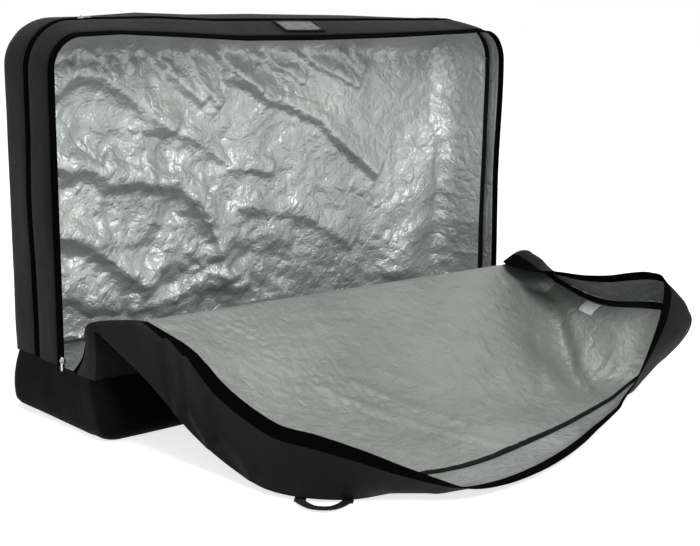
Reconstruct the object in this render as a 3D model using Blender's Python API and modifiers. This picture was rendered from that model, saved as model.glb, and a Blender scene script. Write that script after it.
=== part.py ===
# Soft bike travel bag, standing open: an upright shell on a boxed base, with the zipped
# front cover folded down onto the floor. Metres, +Z up, +Y to the rear, origin on the
# floor under the middle of the base.
import math

import bpy
import bmesh
from mathutils import Matrix, Vector

# Driving dimensions of the bag
bag_length = 1.300
bag_height = 0.878
base_depth = 0.368
base_height = 0.132
shell_depth = 0.225
rear_strip_width = 0.105
top_corner_radius = 0.105
base_corner_radius = 0.040
opening_side_inset = 0.0025
opening_top_drop = 0.034

# Cloth, padding and boards
skin_thickness = 0.0025
base_wall_thickness = 0.004
lining_thickness = 0.0010
padding_thickness = 0.0060
board_thickness = 0.0050
seam_gap = 0.0004
binding_width = 0.016
binding_thickness = 0.0014

# Zips: tape, coil, sliders and pulls
main_tape_width = 0.028
expansion_tape_width = 0.024
tape_thickness = 0.0012
coil_width = 0.0060
coil_height = 0.0022
slider_length = 0.0150
slider_reach = 0.0090
slider_plate = 0.0013
slider_play = 0.0004
slider_bridge_width = 0.0034
bail_radius = 0.0040
bail_wire_radius = 0.0008
pull_swing_gap = 0.0010
pull_length = 0.0260
pull_width = 0.0080
pull_thickness = 0.0012
pull_eye_width = 0.0042
pull_eye_length = 0.0050
pull_bar = 0.0012
pull_eye_narrow_share = 0.80
slider_nose_share = 0.78
slider_tail_share = 0.70
rider_nose_share = 0.33
rider_tail_share = 0.25
coil_slope_share = 0.25
expansion_slider_from_corner = 0.030
main_slider_above_base = 0.014

# Card pocket on top of the front strip
pocket_length = 0.118
pocket_width = 0.062
pocket_border = 0.007
pocket_thickness = 0.0024
pocket_window_thickness = 0.0008
pocket_card_thickness = 0.0006
pocket_centre_x = 0.035

# Front cover
crest_height = 0.245
cover_reach = 0.660
cover_corner_radius = 0.140
cover_thickness = 0.0035
rim_width = 0.092
rim_thickness = 0.0025
rim_tape_width = 0.028
rim_foot_gap = 0.0010
cover_trim_gap = 0.0010
middle_fold_forward = 0.268
middle_fold_height = 0.066
middle_fold_share = 0.50
crest_rim_start = 0.035
rim_split_gap = 0.0018
lip_start_share = 0.2354
lip_end_share = 0.804
lip_end_gap = 0.0060
lip_hinge_height = 0.0145
riser_gusset_depth = 0.040
cover_binding_inset = 0.009
cover_binding_width = 0.010
cover_binding_start = 0.110
care_label_length = 0.050
care_label_width = 0.030
care_label_thickness = 0.0006
care_label_from_crest = 0.310
care_label_offset = 0.026

# Webbing grab loop at the cover's left front corner
webbing_width = 0.022
webbing_thickness = 0.0024
loop_outer_length = 0.112
loop_outer_depth = 0.068
loop_bend_radius = 0.018
loop_inner_bend_radius = 0.006
loop_corner_share = 0.614
loop_tilt = 1.5
loop_tuck = 0.016
loop_drop = 0.0037
loop_hinge_out = 0.0050

# Where the cover's cloth lies: one row for each share of its length from crest to front,
# one entry for each share of its width, as shares of bag length, reach and crest height.
across_shares = (0.0, 0.25, 0.50, 0.75, 0.88, 1.0)
along_shares = (0.0, 0.25, 0.50, 0.75, 1.0)
cover_place_shares = (
    ((0.000, 0.00, 1.00), (0.250, 0.00, 1.00), (0.500, 0.00, 1.00),
     (0.750, 0.00, 1.00), (0.875, 0.00, 1.00), (0.990, 0.00, 1.00)),
    ((0.026, 0.23, 0.66), (0.262, 0.22, 0.69), (0.508, 0.21, 0.70),
     (0.752, 0.20, 0.68), (0.868, 0.19, 0.66), (0.978, 0.20, 0.84)),
    ((0.046, 0.45, 0.28), (0.275, 0.46, 0.33), (0.520, 0.44, 0.37),
     (0.762, 0.42, 0.33), (0.872, 0.39, 0.31), (0.975, 0.42, 0.76)),
    ((0.060, 0.69, 0.07), (0.288, 0.73, 0.11), (0.532, 0.69, 0.14),
     (0.775, 0.60, 0.13), (0.890, 0.56, 0.17), (0.995, 0.64, 0.79)),
    ((0.066, 0.96, 0.02), (0.298, 1.01, 0.02), (0.540, 0.93, 0.03),
     (0.785, 0.78, 0.04), (0.912, 0.69, 0.10), (1.060, 0.87, 0.72)),
)

# How the cover's rim leans at shares of the way round its edge, from the left end of the
# crest, round the front, to the right end: right, forward and up parts of its direction.
rim_lean_shares = (
    (0.008, (0.98, -0.10, 0.25)),
    (0.066, (0.80, 0.05, 0.60)),
    (0.132, (0.46, 0.00, 0.89)),
    (0.200, (0.36, -0.05, 0.93)),
    (0.252, (0.36, -0.05, 0.90)),
    (0.296, (0.20, 0.55, 0.75)),
    (0.320, (0.10, 0.80, 0.50)),
    (0.352, (0.05, 0.92, 0.28)),
    (0.392, (0.04, 0.98, 0.08)),
    (0.460, (0.05, 1.00, 0.00)),
    (0.544, (-0.04, 1.00, 0.00)),
    (0.584, (-0.22, 0.97, 0.02)),
    (0.624, (-0.50, 0.85, 0.03)),
    (0.672, (-0.60, 0.76, 0.18)),
    (0.704, (-0.75, 0.50, 0.32)),
    (0.736, (-0.75, 0.20, 0.55)),
    (0.780, (-0.30, -0.35, 0.65)),
    (0.860, (-0.62, 0.00, 0.68)),
    (0.940, (-0.75, 0.00, 0.62)),
    (0.992, (-0.97, 0.00, 0.20)),
)

# Counts, angles and working tolerances
arc_steps = 8
wall_arc_steps = 6
wire_rounding_steps = 2
crease_angle = 35
weld_share = 0.01
edge_step_share = 0.002
cover_columns = 30
slope_rows = 10
apron_rows = 5
corner_rows = 6

# Places worked out from the driving dimensions
half_length = bag_length / 2
front_y = -base_depth / 2
rear_y = base_depth / 2
opening_y = rear_y - shell_depth
mid_y = rear_y - rear_strip_width
shell_foot = base_height + seam_gap
side_run = cover_reach - cover_corner_radius
corner_run = cover_corner_radius * math.pi / 2
front_run = bag_length - 2 * cover_corner_radius
edge_run = 2 * side_run + 2 * corner_run + front_run
middle_fold_run = middle_fold_share * cover_reach
lip_start = side_run + corner_run + lip_start_share * front_run
lip_end = side_run + corner_run + lip_end_share * front_run
care_label_run = edge_run - care_label_from_crest
loop_run = side_run + loop_corner_share * corner_run


def clear_scene():
    for thing in list(bpy.data.objects):
        bpy.data.objects.remove(thing, do_unlink=True)


def make_material(name, colour, roughness, metallic=0.0, alpha=1.0):
    material = bpy.data.materials.new(name)
    material.use_nodes = True
    shader = material.node_tree.nodes["Principled BSDF"]
    shader.inputs["Base Color"].default_value = (*colour, 1.0)
    shader.inputs["Roughness"].default_value = roughness
    shader.inputs["Metallic"].default_value = metallic
    shader.inputs["Alpha"].default_value = alpha
    material.diffuse_color = (*colour, alpha)
    return material


def make_collection(name):
    collection = bpy.data.collections.new(name)
    bpy.context.scene.collection.children.link(collection)
    return collection


clear_scene()
bag = make_collection("soft_bike_bag")
cutters = make_collection("cutters")
cutters.hide_render = True

nylon = make_material("nylon", (0.022, 0.021, 0.022), 0.55)
base_nylon = make_material("base_nylon", (0.012, 0.012, 0.012), 0.60)
silver = make_material("silver_lining", (0.42, 0.43, 0.42), 0.35, 0.65)
tape = make_material("zip_tape", (0.010, 0.010, 0.010), 0.70)
webbing = make_material("webbing", (0.010, 0.010, 0.010), 0.65)
binding = make_material("binding", (0.012, 0.012, 0.012), 0.60)
foam = make_material("foam", (0.10, 0.10, 0.10), 0.90)
board = make_material("board", (0.08, 0.08, 0.08), 0.55)
metal = make_material("nickel", (0.55, 0.54, 0.52), 0.28, 1.0)
clear_film = make_material("clear_film", (0.80, 0.82, 0.82), 0.12, 0.0, 0.4)
card = make_material("card", (0.62, 0.64, 0.63), 0.60)
label = make_material("label", (0.80, 0.80, 0.78), 0.70)


def add_object(name, mesh, material):
    mesh.materials.append(material)
    thing = bpy.data.objects.new(name, mesh)
    bag.objects.link(thing)
    return thing


def finish_mesh(name, work, material, smooth=True):
    bmesh.ops.recalc_face_normals(work, faces=work.faces)
    mesh = bpy.data.meshes.new(name)
    work.to_mesh(mesh)
    work.free()
    if smooth:
        mesh.shade_smooth()
        mesh.set_sharp_from_angle(angle=math.radians(crease_angle))
    return add_object(name, mesh, material)


def hang_on(pivot_name, place, names, parent=None):
    """Parents moving pieces, where they are, to an empty on their joint's axis."""
    pivot = bpy.data.objects.new(pivot_name, None)
    bag.objects.link(pivot)
    pivot.location = place
    if parent:
        pivot.parent = parent
        pivot.matrix_parent_inverse = parent.matrix_world.inverted()
    bpy.context.view_layer.update()
    for name in names:
        piece = bpy.data.objects[name]
        piece.parent = pivot
        piece.matrix_parent_inverse = pivot.matrix_world.inverted()
    bpy.context.view_layer.update()
    return pivot


def loft(name, rings, material, smooth=True):
    """Skins equal closed rings of points one after another and caps both ends."""
    work = bmesh.new()
    loops = [[work.verts.new(point) for point in ring] for ring in rings]
    count = len(loops[0])
    for first, second in zip(loops, loops[1:]):
        for i in range(count):
            j = (i + 1) % count
            work.faces.new((first[i], first[j], second[j], second[i]))
    work.faces.new(list(reversed(loops[0])))
    work.faces.new(loops[-1])
    return finish_mesh(name, work, material, smooth)


def strip_loft(name, rings, reaches, material):
    """Skins a thin twisting strip; both its faces are split along the same diagonals."""
    work = bmesh.new()
    loops = [[work.verts.new(point) for point in ring] for ring in rings]
    count = len(reaches)
    for first, second in zip(loops, loops[1:]):
        for i in range(count):
            j = (i + 1) % count
            if reaches[i] <= reaches[j]:
                work.faces.new((first[i], first[j], second[j]))
                work.faces.new((first[i], second[j], second[i]))
            else:
                work.faces.new((first[i], first[j], second[i]))
                work.faces.new((first[j], second[j], second[i]))
    work.faces.new(list(reversed(loops[0])))
    work.faces.new(loops[-1])
    return finish_mesh(name, work, material)


def plate(name, outline, thickness, place, turn, material, holes=()):
    """A flat outline given a thickness on both sides of its plane."""
    shape = bpy.data.curves.new(name, "CURVE")
    shape.dimensions = "2D"
    shape.fill_mode = "BOTH"
    shape.extrude = thickness / 2
    for points in (outline, *holes):
        spline = shape.splines.new("POLY")
        spline.points.add(len(points) - 1)
        for spot, (x, y) in zip(spline.points, points):
            spot.co = (x, y, 0.0, 1.0)
        spline.use_cyclic_u = True
    shape.materials.append(material)
    thing = bpy.data.objects.new(name, shape)
    thing.location = place
    thing.rotation_euler = turn
    bag.objects.link(thing)
    return thing


def sheet_mesh(grid):
    """An open sheet through rows of points, facing up."""
    work = bmesh.new()
    corners = [[work.verts.new(point) for point in row] for row in grid]
    for low, high in zip(corners, corners[1:]):
        for i in range(len(low) - 1):
            work.faces.new((low[i], high[i], high[i + 1], low[i + 1]))
    return work, corners


def ribbon(name, grid, thickness, material):
    """A sheet thickened upwards along its normals."""
    work, _ = sheet_mesh(grid)
    mesh = bpy.data.meshes.new(name)
    work.to_mesh(mesh)
    work.free()
    mesh.shade_smooth()
    thing = add_object(name, mesh, material)
    solid = thing.modifiers.new("thickness", "SOLIDIFY")
    solid.thickness = thickness
    solid.offset = 1.0
    solid.use_even_offset = False
    return thing


def arc(centre, radius, start, end, steps):
    """Points on an arc, by angles in degrees, both ends included."""
    points = []
    for i in range(steps + 1):
        angle = math.radians(start + (end - start) * i / steps)
        points.append((centre[0] + radius * math.cos(angle),
                       centre[1] + radius * math.sin(angle)))
    return points


def rounded_box_outline(half_x, low_y, high_y, radius):
    """A rectangle outline with four round corners, anticlockwise."""
    x = half_x - radius
    return (arc((x, high_y - radius), radius, 0, 90, wall_arc_steps)
            + arc((-x, high_y - radius), radius, 90, 180, wall_arc_steps)
            + arc((-x, low_y + radius), radius, 180, 270, wall_arc_steps)
            + arc((x, low_y + radius), radius, 270, 360, wall_arc_steps))


def arched_outline(half_x, low_z, high_z, radius):
    """A panel outline: square feet below, round corners above."""
    x = half_x - radius
    return ([(-half_x, low_z), (half_x, low_z)]
            + arc((x, high_z - radius), radius, 0, 90, arc_steps)
            + arc((-x, high_z - radius), radius, 90, 180, arc_steps))


# The boxed base: bottom panel, four sewn walls, stiffening board and lining tub

def make_base():
    radius = base_corner_radius
    inner = base_wall_thickness
    end_join = half_length - radius
    plate("base_bottom",
          rounded_box_outline(half_length - inner - seam_gap, front_y + inner + seam_gap,
                              rear_y - inner - seam_gap, radius - inner),
          base_wall_thickness, (0, 0, base_wall_thickness / 2), (0, 0, 0), base_nylon)
    for name, side in (("base_end_left", -1), ("base_end_right", 1)):
        outer = (arc((end_join, front_y + radius), radius, 270, 360, wall_arc_steps)
                 + arc((end_join, rear_y - radius), radius, 0, 90, wall_arc_steps))
        back = (arc((end_join, rear_y - radius), radius - inner, 90, 0, wall_arc_steps)
                + arc((end_join, front_y + radius), radius - inner, 360, 270, wall_arc_steps))
        outline = [(side * x, y) for x, y in outer + back]
        plate(name, outline, base_height, (0, 0, base_height / 2), (0, 0, 0), base_nylon)
    straight = end_join - seam_gap
    for name, low in (("base_front", front_y), ("base_rear", rear_y - inner)):
        outline = [(-straight, low), (straight, low),
                   (straight, low + inner), (-straight, low + inner)]
        plate(name, outline, base_height, (0, 0, base_height / 2), (0, 0, 0), base_nylon)


def make_base_inside():
    step = base_wall_thickness + seam_gap
    radius = base_corner_radius - step
    board_top = step + board_thickness
    plate("base_board",
          rounded_box_outline(half_length - step - lining_thickness - 2 * seam_gap,
                              front_y + step + lining_thickness + 2 * seam_gap,
                              rear_y - step - lining_thickness - 2 * seam_gap,
                              radius - lining_thickness - 2 * seam_gap),
          board_thickness, (0, 0, step + board_thickness / 2), (0, 0, 0), board)
    tub_floor = board_top + seam_gap
    outer = rounded_box_outline(half_length - step - seam_gap, front_y + step + seam_gap,
                                rear_y - step - seam_gap, radius - seam_gap)
    thin = lining_thickness
    inner = rounded_box_outline(half_length - step - seam_gap - thin,
                                front_y + step + seam_gap + thin,
                                rear_y - step - seam_gap - thin, radius - seam_gap - thin)
    rim = base_height - seam_gap
    work = bmesh.new()
    loops = [[work.verts.new((x, y, z)) for x, y in outline]
             for outline, z in ((outer, tub_floor), (outer, rim),
                                (inner, rim), (inner, tub_floor + thin))]
    count = len(outer)
    for low, high in zip(loops, loops[1:]):
        for i in range(count):
            j = (i + 1) % count
            work.faces.new((low[i], low[j], high[j], high[i]))
    work.faces.new(list(reversed(loops[0])))
    work.faces.new(loops[-1])
    finish_mesh("base_lining", work, silver)


# The shell: back panel, gusset strips, linings, bindings and zips on an arched path

def slope_share(y):
    """How far a place lies from the middle seam towards the opening's edge."""
    return max(0.0, (mid_y - y) / (mid_y - opening_y))


def arch_place(spot, y, offset):
    """A point on the shell's skin at one spot of its arch, moved out by an offset."""
    part, share = spot
    lean = slope_share(y)
    half_x = half_length - opening_side_inset * lean
    top = bag_height - opening_top_drop * lean
    radius = top_corner_radius
    if part == "left":
        return Vector((-half_x - offset, y, shell_foot + (top - radius - shell_foot) * share))
    if part == "right":
        return Vector((half_x + offset, y, top - radius - (top - radius - shell_foot) * share))
    if part == "top":
        x = half_x - radius
        return Vector((-x + 2 * x * share, y, top + offset))
    side = -1 if part == "left_corner" else 1
    angle = math.pi * (1 - share / 2) if side < 0 else math.pi * (1 - share) / 2
    reach = radius + offset
    return Vector((side * (half_x - radius) + reach * math.cos(angle), y,
                   top - radius + reach * math.sin(angle)))


def arch_spots(parts):
    """The spots of an arch that runs through the named parts in order."""
    spots = []
    for part in parts:
        steps = arc_steps if part.endswith("corner") else 1
        if part == "top":
            steps = arc_steps
        for i in range(steps + 1):
            if spots and i == 0:
                continue
            spots.append((part, i / steps))
    return spots


whole_arch = ("left", "left_corner", "top", "right_corner", "right")


def arch_rings(parts, profile):
    """A cross-section, of (y, offset) corners, at each spot of the arch."""
    return [[arch_place(spot, y, offset) for y, offset in profile]
            for spot in arch_spots(parts)]


def band(name, parts, profile, material):
    """A strip with one cross-section swept along the arch."""
    loft(name, arch_rings(parts, profile), material)


def side_band(name, part, profile, material):
    """A strip up one straight side, ending a seam's width below the corner."""
    rings = arch_rings((part,), profile)
    top_ring = rings[-1] if part == "left" else rings[0]
    for point in top_ring:
        point.z -= seam_gap
    loft(name, rings, material)


def flat_profile(low_y, high_y, low_offset, high_offset):
    return ((low_y, low_offset), (high_y, low_offset), (high_y, high_offset),
            (low_y, high_offset))


def coil_profile(low_y, high_y, coil_low_y):
    """A zip tape with its coil standing on the outside."""
    coil_high_y = coil_low_y + coil_width
    top = coil_height
    lip = tape_thickness
    points = [(low_y, 0), (high_y, 0), (high_y, lip)]
    if coil_high_y < high_y:
        points.append((coil_high_y, lip))
    slope = coil_width * coil_slope_share
    points += [(coil_high_y - slope, top), (coil_low_y + slope, top)]
    if coil_low_y > low_y:
        points.append((coil_low_y, lip))
        points.append((low_y, lip))
    else:
        points.append((low_y, lip))
    return [(y, offset - tape_thickness) for y, offset in points]


def make_shell():
    back = rear_y - skin_thickness
    plate("rear_panel", arched_outline(half_length, shell_foot, bag_height, top_corner_radius),
          skin_thickness, (0, rear_y - skin_thickness / 2, 0), (math.pi / 2, 0, 0), nylon)
    inset = skin_thickness + lining_thickness + 2 * seam_gap
    foam_y = back - seam_gap - padding_thickness / 2
    plate("rear_padding",
          arched_outline(half_length - inset, shell_foot, bag_height - inset,
                         top_corner_radius - inset),
          padding_thickness, (0, foam_y, 0), (math.pi / 2, 0, 0), foam)
    lining_y = foam_y - padding_thickness / 2 - seam_gap - lining_thickness / 2
    plate("rear_lining",
          arched_outline(half_length - inset, shell_foot, bag_height - inset,
                         top_corner_radius - inset),
          lining_thickness, (0, lining_y, 0), (math.pi / 2, 0, 0), silver)
    rear_strip = flat_profile(mid_y + expansion_tape_width / 2 + seam_gap, back - seam_gap,
                              -skin_thickness, 0)
    front_strip = flat_profile(opening_y + main_tape_width + seam_gap,
                               mid_y - expansion_tape_width / 2 - seam_gap,
                               -skin_thickness, 0)
    for strip, profile in (("rear_gusset", rear_strip), ("front_gusset", front_strip)):
        side_band(strip + "_left", "left", profile, nylon)
        band(strip + "_top", ("left_corner", "top", "right_corner"), profile, nylon)
        side_band(strip + "_right", "right", profile, nylon)
    low = mid_y - expansion_tape_width / 2
    band("expansion_zip", whole_arch,
         coil_profile(low, low + expansion_tape_width, mid_y - coil_width / 2), tape)
    band("main_zip_shell", whole_arch,
         coil_profile(opening_y, opening_y + main_tape_width, opening_y), tape)
    lining_low = -skin_thickness - seam_gap - lining_thickness
    lining_high = -skin_thickness - seam_gap
    band("gusset_lining_rear", whole_arch,
         flat_profile(mid_y + seam_gap, back - seam_gap, lining_low, lining_high), silver)
    band("gusset_lining_front", whole_arch,
         flat_profile(opening_y + main_tape_width + seam_gap, mid_y - seam_gap,
                      lining_low, lining_high), silver)
    high = lining_low - seam_gap
    band("mid_seam_binding", whole_arch,
         flat_profile(mid_y - binding_width, mid_y, high - binding_thickness, high), binding)


# The zip sliders and their pulls

def slider_mesh(tape_reach):
    """A slider on a zip edge: two plates round the coil, a bridge beyond it and a bail.

    Along x the slider travels, y runs back over the tape and z points away from the bag.
    The zip edge is the line y = 0, and its tape's top face is z = 0.
    """
    top = coil_height - tape_thickness + slider_play
    bottom = -tape_thickness - slider_play
    plate_top = top + slider_plate
    plate_bottom = bottom - slider_plate
    near = -slider_play - slider_bridge_width
    inside = -slider_play
    section = ((near, plate_bottom), (tape_reach, plate_bottom), (tape_reach, bottom),
               (inside, bottom), (inside, top), (tape_reach, top), (tape_reach, plate_top),
               (near, plate_top))
    half = slider_length / 2
    work = bmesh.new()
    ends = []
    for x, narrow in ((-half, slider_nose_share), (-half / 2, 1), (half / 2, 1),
                      (half, slider_tail_share)):
        ring = []
        for y, z in section:
            squeezed = y * narrow if y > 0 or y == near else y
            ring.append(work.verts.new((x, squeezed, z)))
        ends.append(ring)
    count = len(section)
    for first, second in zip(ends, ends[1:]):
        for i in range(count):
            j = (i + 1) % count
            work.faces.new((first[i], first[j], second[j], second[i]))
    work.faces.new(list(reversed(ends[0])))
    work.faces.new(ends[-1])
    bmesh.ops.recalc_face_normals(work, faces=work.faces)
    return work, plate_top


def tube_mesh(name, points, radius):
    """A wire through the points, as a closed mesh."""
    shape = bpy.data.curves.new(name, "CURVE")
    shape.dimensions = "3D"
    shape.bevel_depth = radius
    shape.bevel_resolution = wire_rounding_steps
    shape.use_fill_caps = True
    spline = shape.splines.new("POLY")
    spline.points.add(len(points) - 1)
    for spot, point in zip(spline.points, points):
        spot.co = (*point, 1.0)
    thing = bpy.data.objects.new(name, shape)
    bag.objects.link(thing)
    bpy.context.view_layer.update()
    graph = bpy.context.evaluated_depsgraph_get()
    mesh = bpy.data.meshes.new_from_object(thing.evaluated_get(graph))
    bpy.data.objects.remove(thing, do_unlink=True)
    work = bmesh.new()
    work.from_mesh(mesh)
    bmesh.ops.remove_doubles(work, verts=work.verts, dist=radius * weld_share)
    bmesh.ops.recalc_face_normals(work, faces=work.faces)
    work.to_mesh(mesh)
    work.free()
    return mesh


def add_bail(slider, middle_y, plate_top):
    """Joins a wire bail onto a slider's top plate."""
    axis_z = plate_top + pull_swing_gap
    foot = plate_top - slider_plate / 2
    route = [(-bail_radius, middle_y, foot)]
    route += [(x, middle_y, axis_z + z) for x, z in arc((0, 0), bail_radius, 180, 0, arc_steps)]
    route.append((bail_radius, middle_y, foot))
    name = slider.name + "_bail"
    wire = bpy.data.objects.new(name, tube_mesh(name, route, bail_wire_radius))
    cutters.objects.link(wire)
    wire.hide_render = True
    wire.display_type = "WIRE"
    join = slider.modifiers.new("bail", "BOOLEAN")
    join.operation = "UNION"
    join.solver = "EXACT"
    join.object = wire
    return wire


def add_pull(name, way, place):
    """A flat pull tab with an eye round its bail; way is the side, along x, it points to."""
    half = pull_width / 2
    neck = half / 2
    tip = pull_length - half
    side = [(-way * pull_bar / 2, neck), (way * pull_eye_length, half)]
    round_end = [(way * (tip + x), y) for x, y in arc((0, 0), half, 90, -90, arc_steps)]
    back = [(x, -y) for x, y in reversed(side)]
    narrow = pull_eye_width / 2 * pull_eye_narrow_share
    far = way * (pull_eye_length + pull_bar)
    near = way * pull_bar / 2
    eye = [(near, -narrow), (near, narrow), (far, pull_eye_width / 2), (far, -pull_eye_width / 2)]
    pull = plate(name, side + round_end + back, pull_thickness, (0, 0, 0), (0, 0, 0), metal,
                 (eye,))
    pull.matrix_world = place


def make_slider(name, pull_name, frame, tape_reach):
    """A slider and its hanging pull; frame is the matrix that carries them to the zip."""
    work, plate_top = slider_mesh(tape_reach)
    slider = finish_mesh(name, work, metal, smooth=False)
    middle_y = (tape_reach - slider_bridge_width) / 2
    wire = add_bail(slider, middle_y, plate_top)
    slider.matrix_world = frame
    wire.matrix_world = frame
    hinge = Matrix.Translation((0, middle_y, plate_top + pull_swing_gap))
    add_pull(pull_name, -1, frame @ hinge)


def frame_of(place, travel, back, out):
    """The matrix whose x, y and z axes are travel, back and out."""
    matrix = Matrix((travel, back, out)).transposed().to_4x4()
    matrix.translation = place
    return matrix


def make_sliders():
    height = shell_foot + main_slider_above_base
    share = main_slider_above_base / (bag_height - top_corner_radius - shell_foot)
    up = Vector((0, 0, 1))
    back = Vector((opening_side_inset, mid_y - opening_y, 0)).normalized()
    for name, pull_name, part, side in (("main_slider_left", "main_pull_left", "left", -1),
                                        ("main_slider_right", "main_pull_right", "right", 1)):
        along = share if side < 0 else 1 - share
        place = arch_place((part, along), opening_y, 0)
        place.z = height
        inward = Vector((side * back.x, back.y, 0))
        out = Vector((side * back.y, -back.x, 0))
        travel = inward.cross(out)
        frame = frame_of(place, travel, inward, out)
        if travel.dot(up) < 0:
            frame = frame @ Matrix.Diagonal((-1, 1, 1, 1))
        make_slider(name, pull_name, frame, slider_reach)
    start = -half_length + top_corner_radius + expansion_slider_from_corner
    make_rider(Vector((start, mid_y, bag_height)))


def make_rider(place):
    """The expansion zip's slider: it rides on top of the closed coil."""
    top = coil_height - tape_thickness + slider_play
    plate_top = top + slider_plate
    nose = (slider_length / 2, slider_reach * rider_tail_share)
    shoulder = (slider_length / 4, slider_reach / 2)
    tail = (slider_length / 2, slider_reach * rider_nose_share)
    outline = [(-tail[0], -tail[1]), (-shoulder[0], -shoulder[1]), (shoulder[0], -shoulder[1]),
               (nose[0], -nose[1]), nose, shoulder, (-shoulder[0], shoulder[1]),
               (-tail[0], tail[1])]
    rings = [[(x, y, z) for x, y in outline] for z in (top, plate_top)]
    slider = loft("expansion_slider", rings, metal, smooth=False)
    wire = add_bail(slider, 0, plate_top)
    frame = Matrix.Translation(place)
    slider.matrix_world = frame
    wire.matrix_world = frame
    add_pull("expansion_pull", 1, frame @ Matrix.Translation((0, 0, plate_top + pull_swing_gap)))


# The card pocket on the top front strip

def make_pocket():
    low_y = opening_y + main_tape_width
    high_y = mid_y - expansion_tape_width / 2
    middle = (low_y + high_y) / 2
    lean = slope_share(middle)
    tilt = math.atan2(opening_top_drop, mid_y - opening_y)
    top = bag_height - opening_top_drop * lean
    base = Matrix.Translation((pocket_centre_x, middle, top)) @ Matrix.Rotation(tilt, 4, "X")

    def box(half_x, half_y):
        return [(-half_x, -half_y), (half_x, -half_y), (half_x, half_y), (-half_x, half_y)]

    hole = box(pocket_length / 2 - pocket_border, pocket_width / 2 - pocket_border)
    frame = plate("pocket_frame", box(pocket_length / 2, pocket_width / 2), pocket_thickness,
                  (0, 0, 0), (0, 0, 0), binding, (hole,))
    frame.matrix_world = base @ Matrix.Translation((0, 0, seam_gap + pocket_thickness / 2))
    inner_x = pocket_length / 2 - pocket_border - seam_gap
    inner_y = pocket_width / 2 - pocket_border - seam_gap
    sheet = plate("pocket_card", box(inner_x, inner_y), pocket_card_thickness, (0, 0, 0),
                  (0, 0, 0), card)
    sheet.matrix_world = base @ Matrix.Translation((0, 0, seam_gap + pocket_card_thickness / 2))
    window = plate("pocket_window", box(inner_x, inner_y), pocket_window_thickness, (0, 0, 0),
                   (0, 0, 0), clear_film)
    lift = 2 * seam_gap + pocket_card_thickness + pocket_window_thickness / 2
    window.matrix_world = base @ Matrix.Translation((0, 0, lift))


# The front cover, folded down over its crest onto the floor

def smooth_step(knots, values, at):
    """A smooth curve through values at their knots, read at one place."""
    last = len(knots) - 1
    i = 0
    while i < last - 1 and at > knots[i + 1]:
        i += 1

    def slope(k):
        before = max(k - 1, 0)
        after = min(k + 1, last)
        return (values[after] - values[before]) / (knots[after] - knots[before])

    width = knots[i + 1] - knots[i]
    s = (at - knots[i]) / width
    return (values[i] * (2 * s ** 3 - 3 * s ** 2 + 1)
            + slope(i) * width * (s ** 3 - 2 * s ** 2 + s)
            + values[i + 1] * (3 * s ** 2 - 2 * s ** 3)
            + slope(i + 1) * width * (s ** 3 - s ** 2))


def cover_point(across, along):
    """Underside of the cover's cloth: across from its left edge, along from the crest."""
    column = [smooth_step(across_shares, [Vector(entry) for entry in row], across / bag_length)
              for row in cover_place_shares]
    place = smooth_step(along_shares, column, along / cover_reach)
    return Vector((place.x * bag_length - half_length, front_y - place.y * cover_reach,
                   place.z * crest_height))


def edge_spot(run, inset=0.0):
    """Across and along of a place on the cover's outline, a run from the crest's left end."""
    radius = cover_corner_radius
    if run <= side_run:
        return inset, run
    run -= side_run
    if run <= corner_run:
        angle = run / radius
        return (radius - (radius - inset) * math.cos(angle),
                side_run + (radius - inset) * math.sin(angle))
    run -= corner_run
    if run <= front_run:
        return radius + run, cover_reach - inset
    run -= front_run
    if run <= corner_run:
        angle = run / radius
        return (bag_length - radius + (radius - inset) * math.sin(angle),
                side_run + (radius - inset) * math.cos(angle))
    run -= corner_run
    return bag_length - inset, side_run - run


def row_inset(along):
    """How far the rounded front corners draw a row's ends in."""
    past = along - side_run
    if past <= 0:
        return 0.0
    return cover_corner_radius - math.sqrt(max(cover_corner_radius ** 2 - past ** 2, 0.0))


def cover_row(along):
    """The points across one row of the cover's cloth."""
    inset = row_inset(along)
    width = bag_length - 2 * inset
    return [cover_point(inset + width * i / cover_columns, along)
            for i in range(cover_columns + 1)]


def sheet_of(alongs):
    """A stretch of the cover's cloth: for each row its place, its points and their normals."""
    grid = [cover_row(along) for along in alongs]
    work, corners = sheet_mesh(grid)
    work.normal_update()
    normals = [[corner.normal.copy() for corner in row] for row in corners]
    work.free()
    return list(zip(alongs, grid, normals))


def make_cover_rows():
    """The rows of the sloping part of the cover, and those of the part on the floor."""
    half_gap = rim_split_gap / 2
    slope_end = middle_fold_run - half_gap
    apron_start = middle_fold_run + half_gap
    slope = [seam_gap + (slope_end - seam_gap) * j / slope_rows for j in range(slope_rows + 1)]
    apron = [apron_start + (side_run - apron_start) * j / apron_rows
             for j in range(apron_rows + 1)]
    apron += [side_run + cover_corner_radius * math.sin(math.pi / 2 * j / corner_rows)
              for j in range(1, corner_rows + 1)]
    return sheet_of(slope), sheet_of(apron)


slope_cloth, apron_cloth = make_cover_rows()


def cloth(across, along):
    """A place on the cover as its rows draw it, and the upward normal there."""
    rows = slope_cloth + apron_cloth
    inset = row_inset(along)
    at = (across - inset) / (bag_length - 2 * inset) * cover_columns
    i = min(max(int(at), 0), cover_columns - 1)
    j = 0
    while j < len(rows) - 2 and along > rows[j + 1][0]:
        j += 1
    share = (along - rows[j][0]) / (rows[j + 1][0] - rows[j][0])
    share = min(max(share, 0.0), 1.0)
    found = []
    for layer in (1, 2):
        low = rows[j][layer][i].lerp(rows[j][layer][i + 1], at - i)
        high = rows[j + 1][layer][i].lerp(rows[j + 1][layer][i + 1], at - i)
        found.append(low.lerp(high, share))
    return found[0], found[1].normalized()


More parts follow.
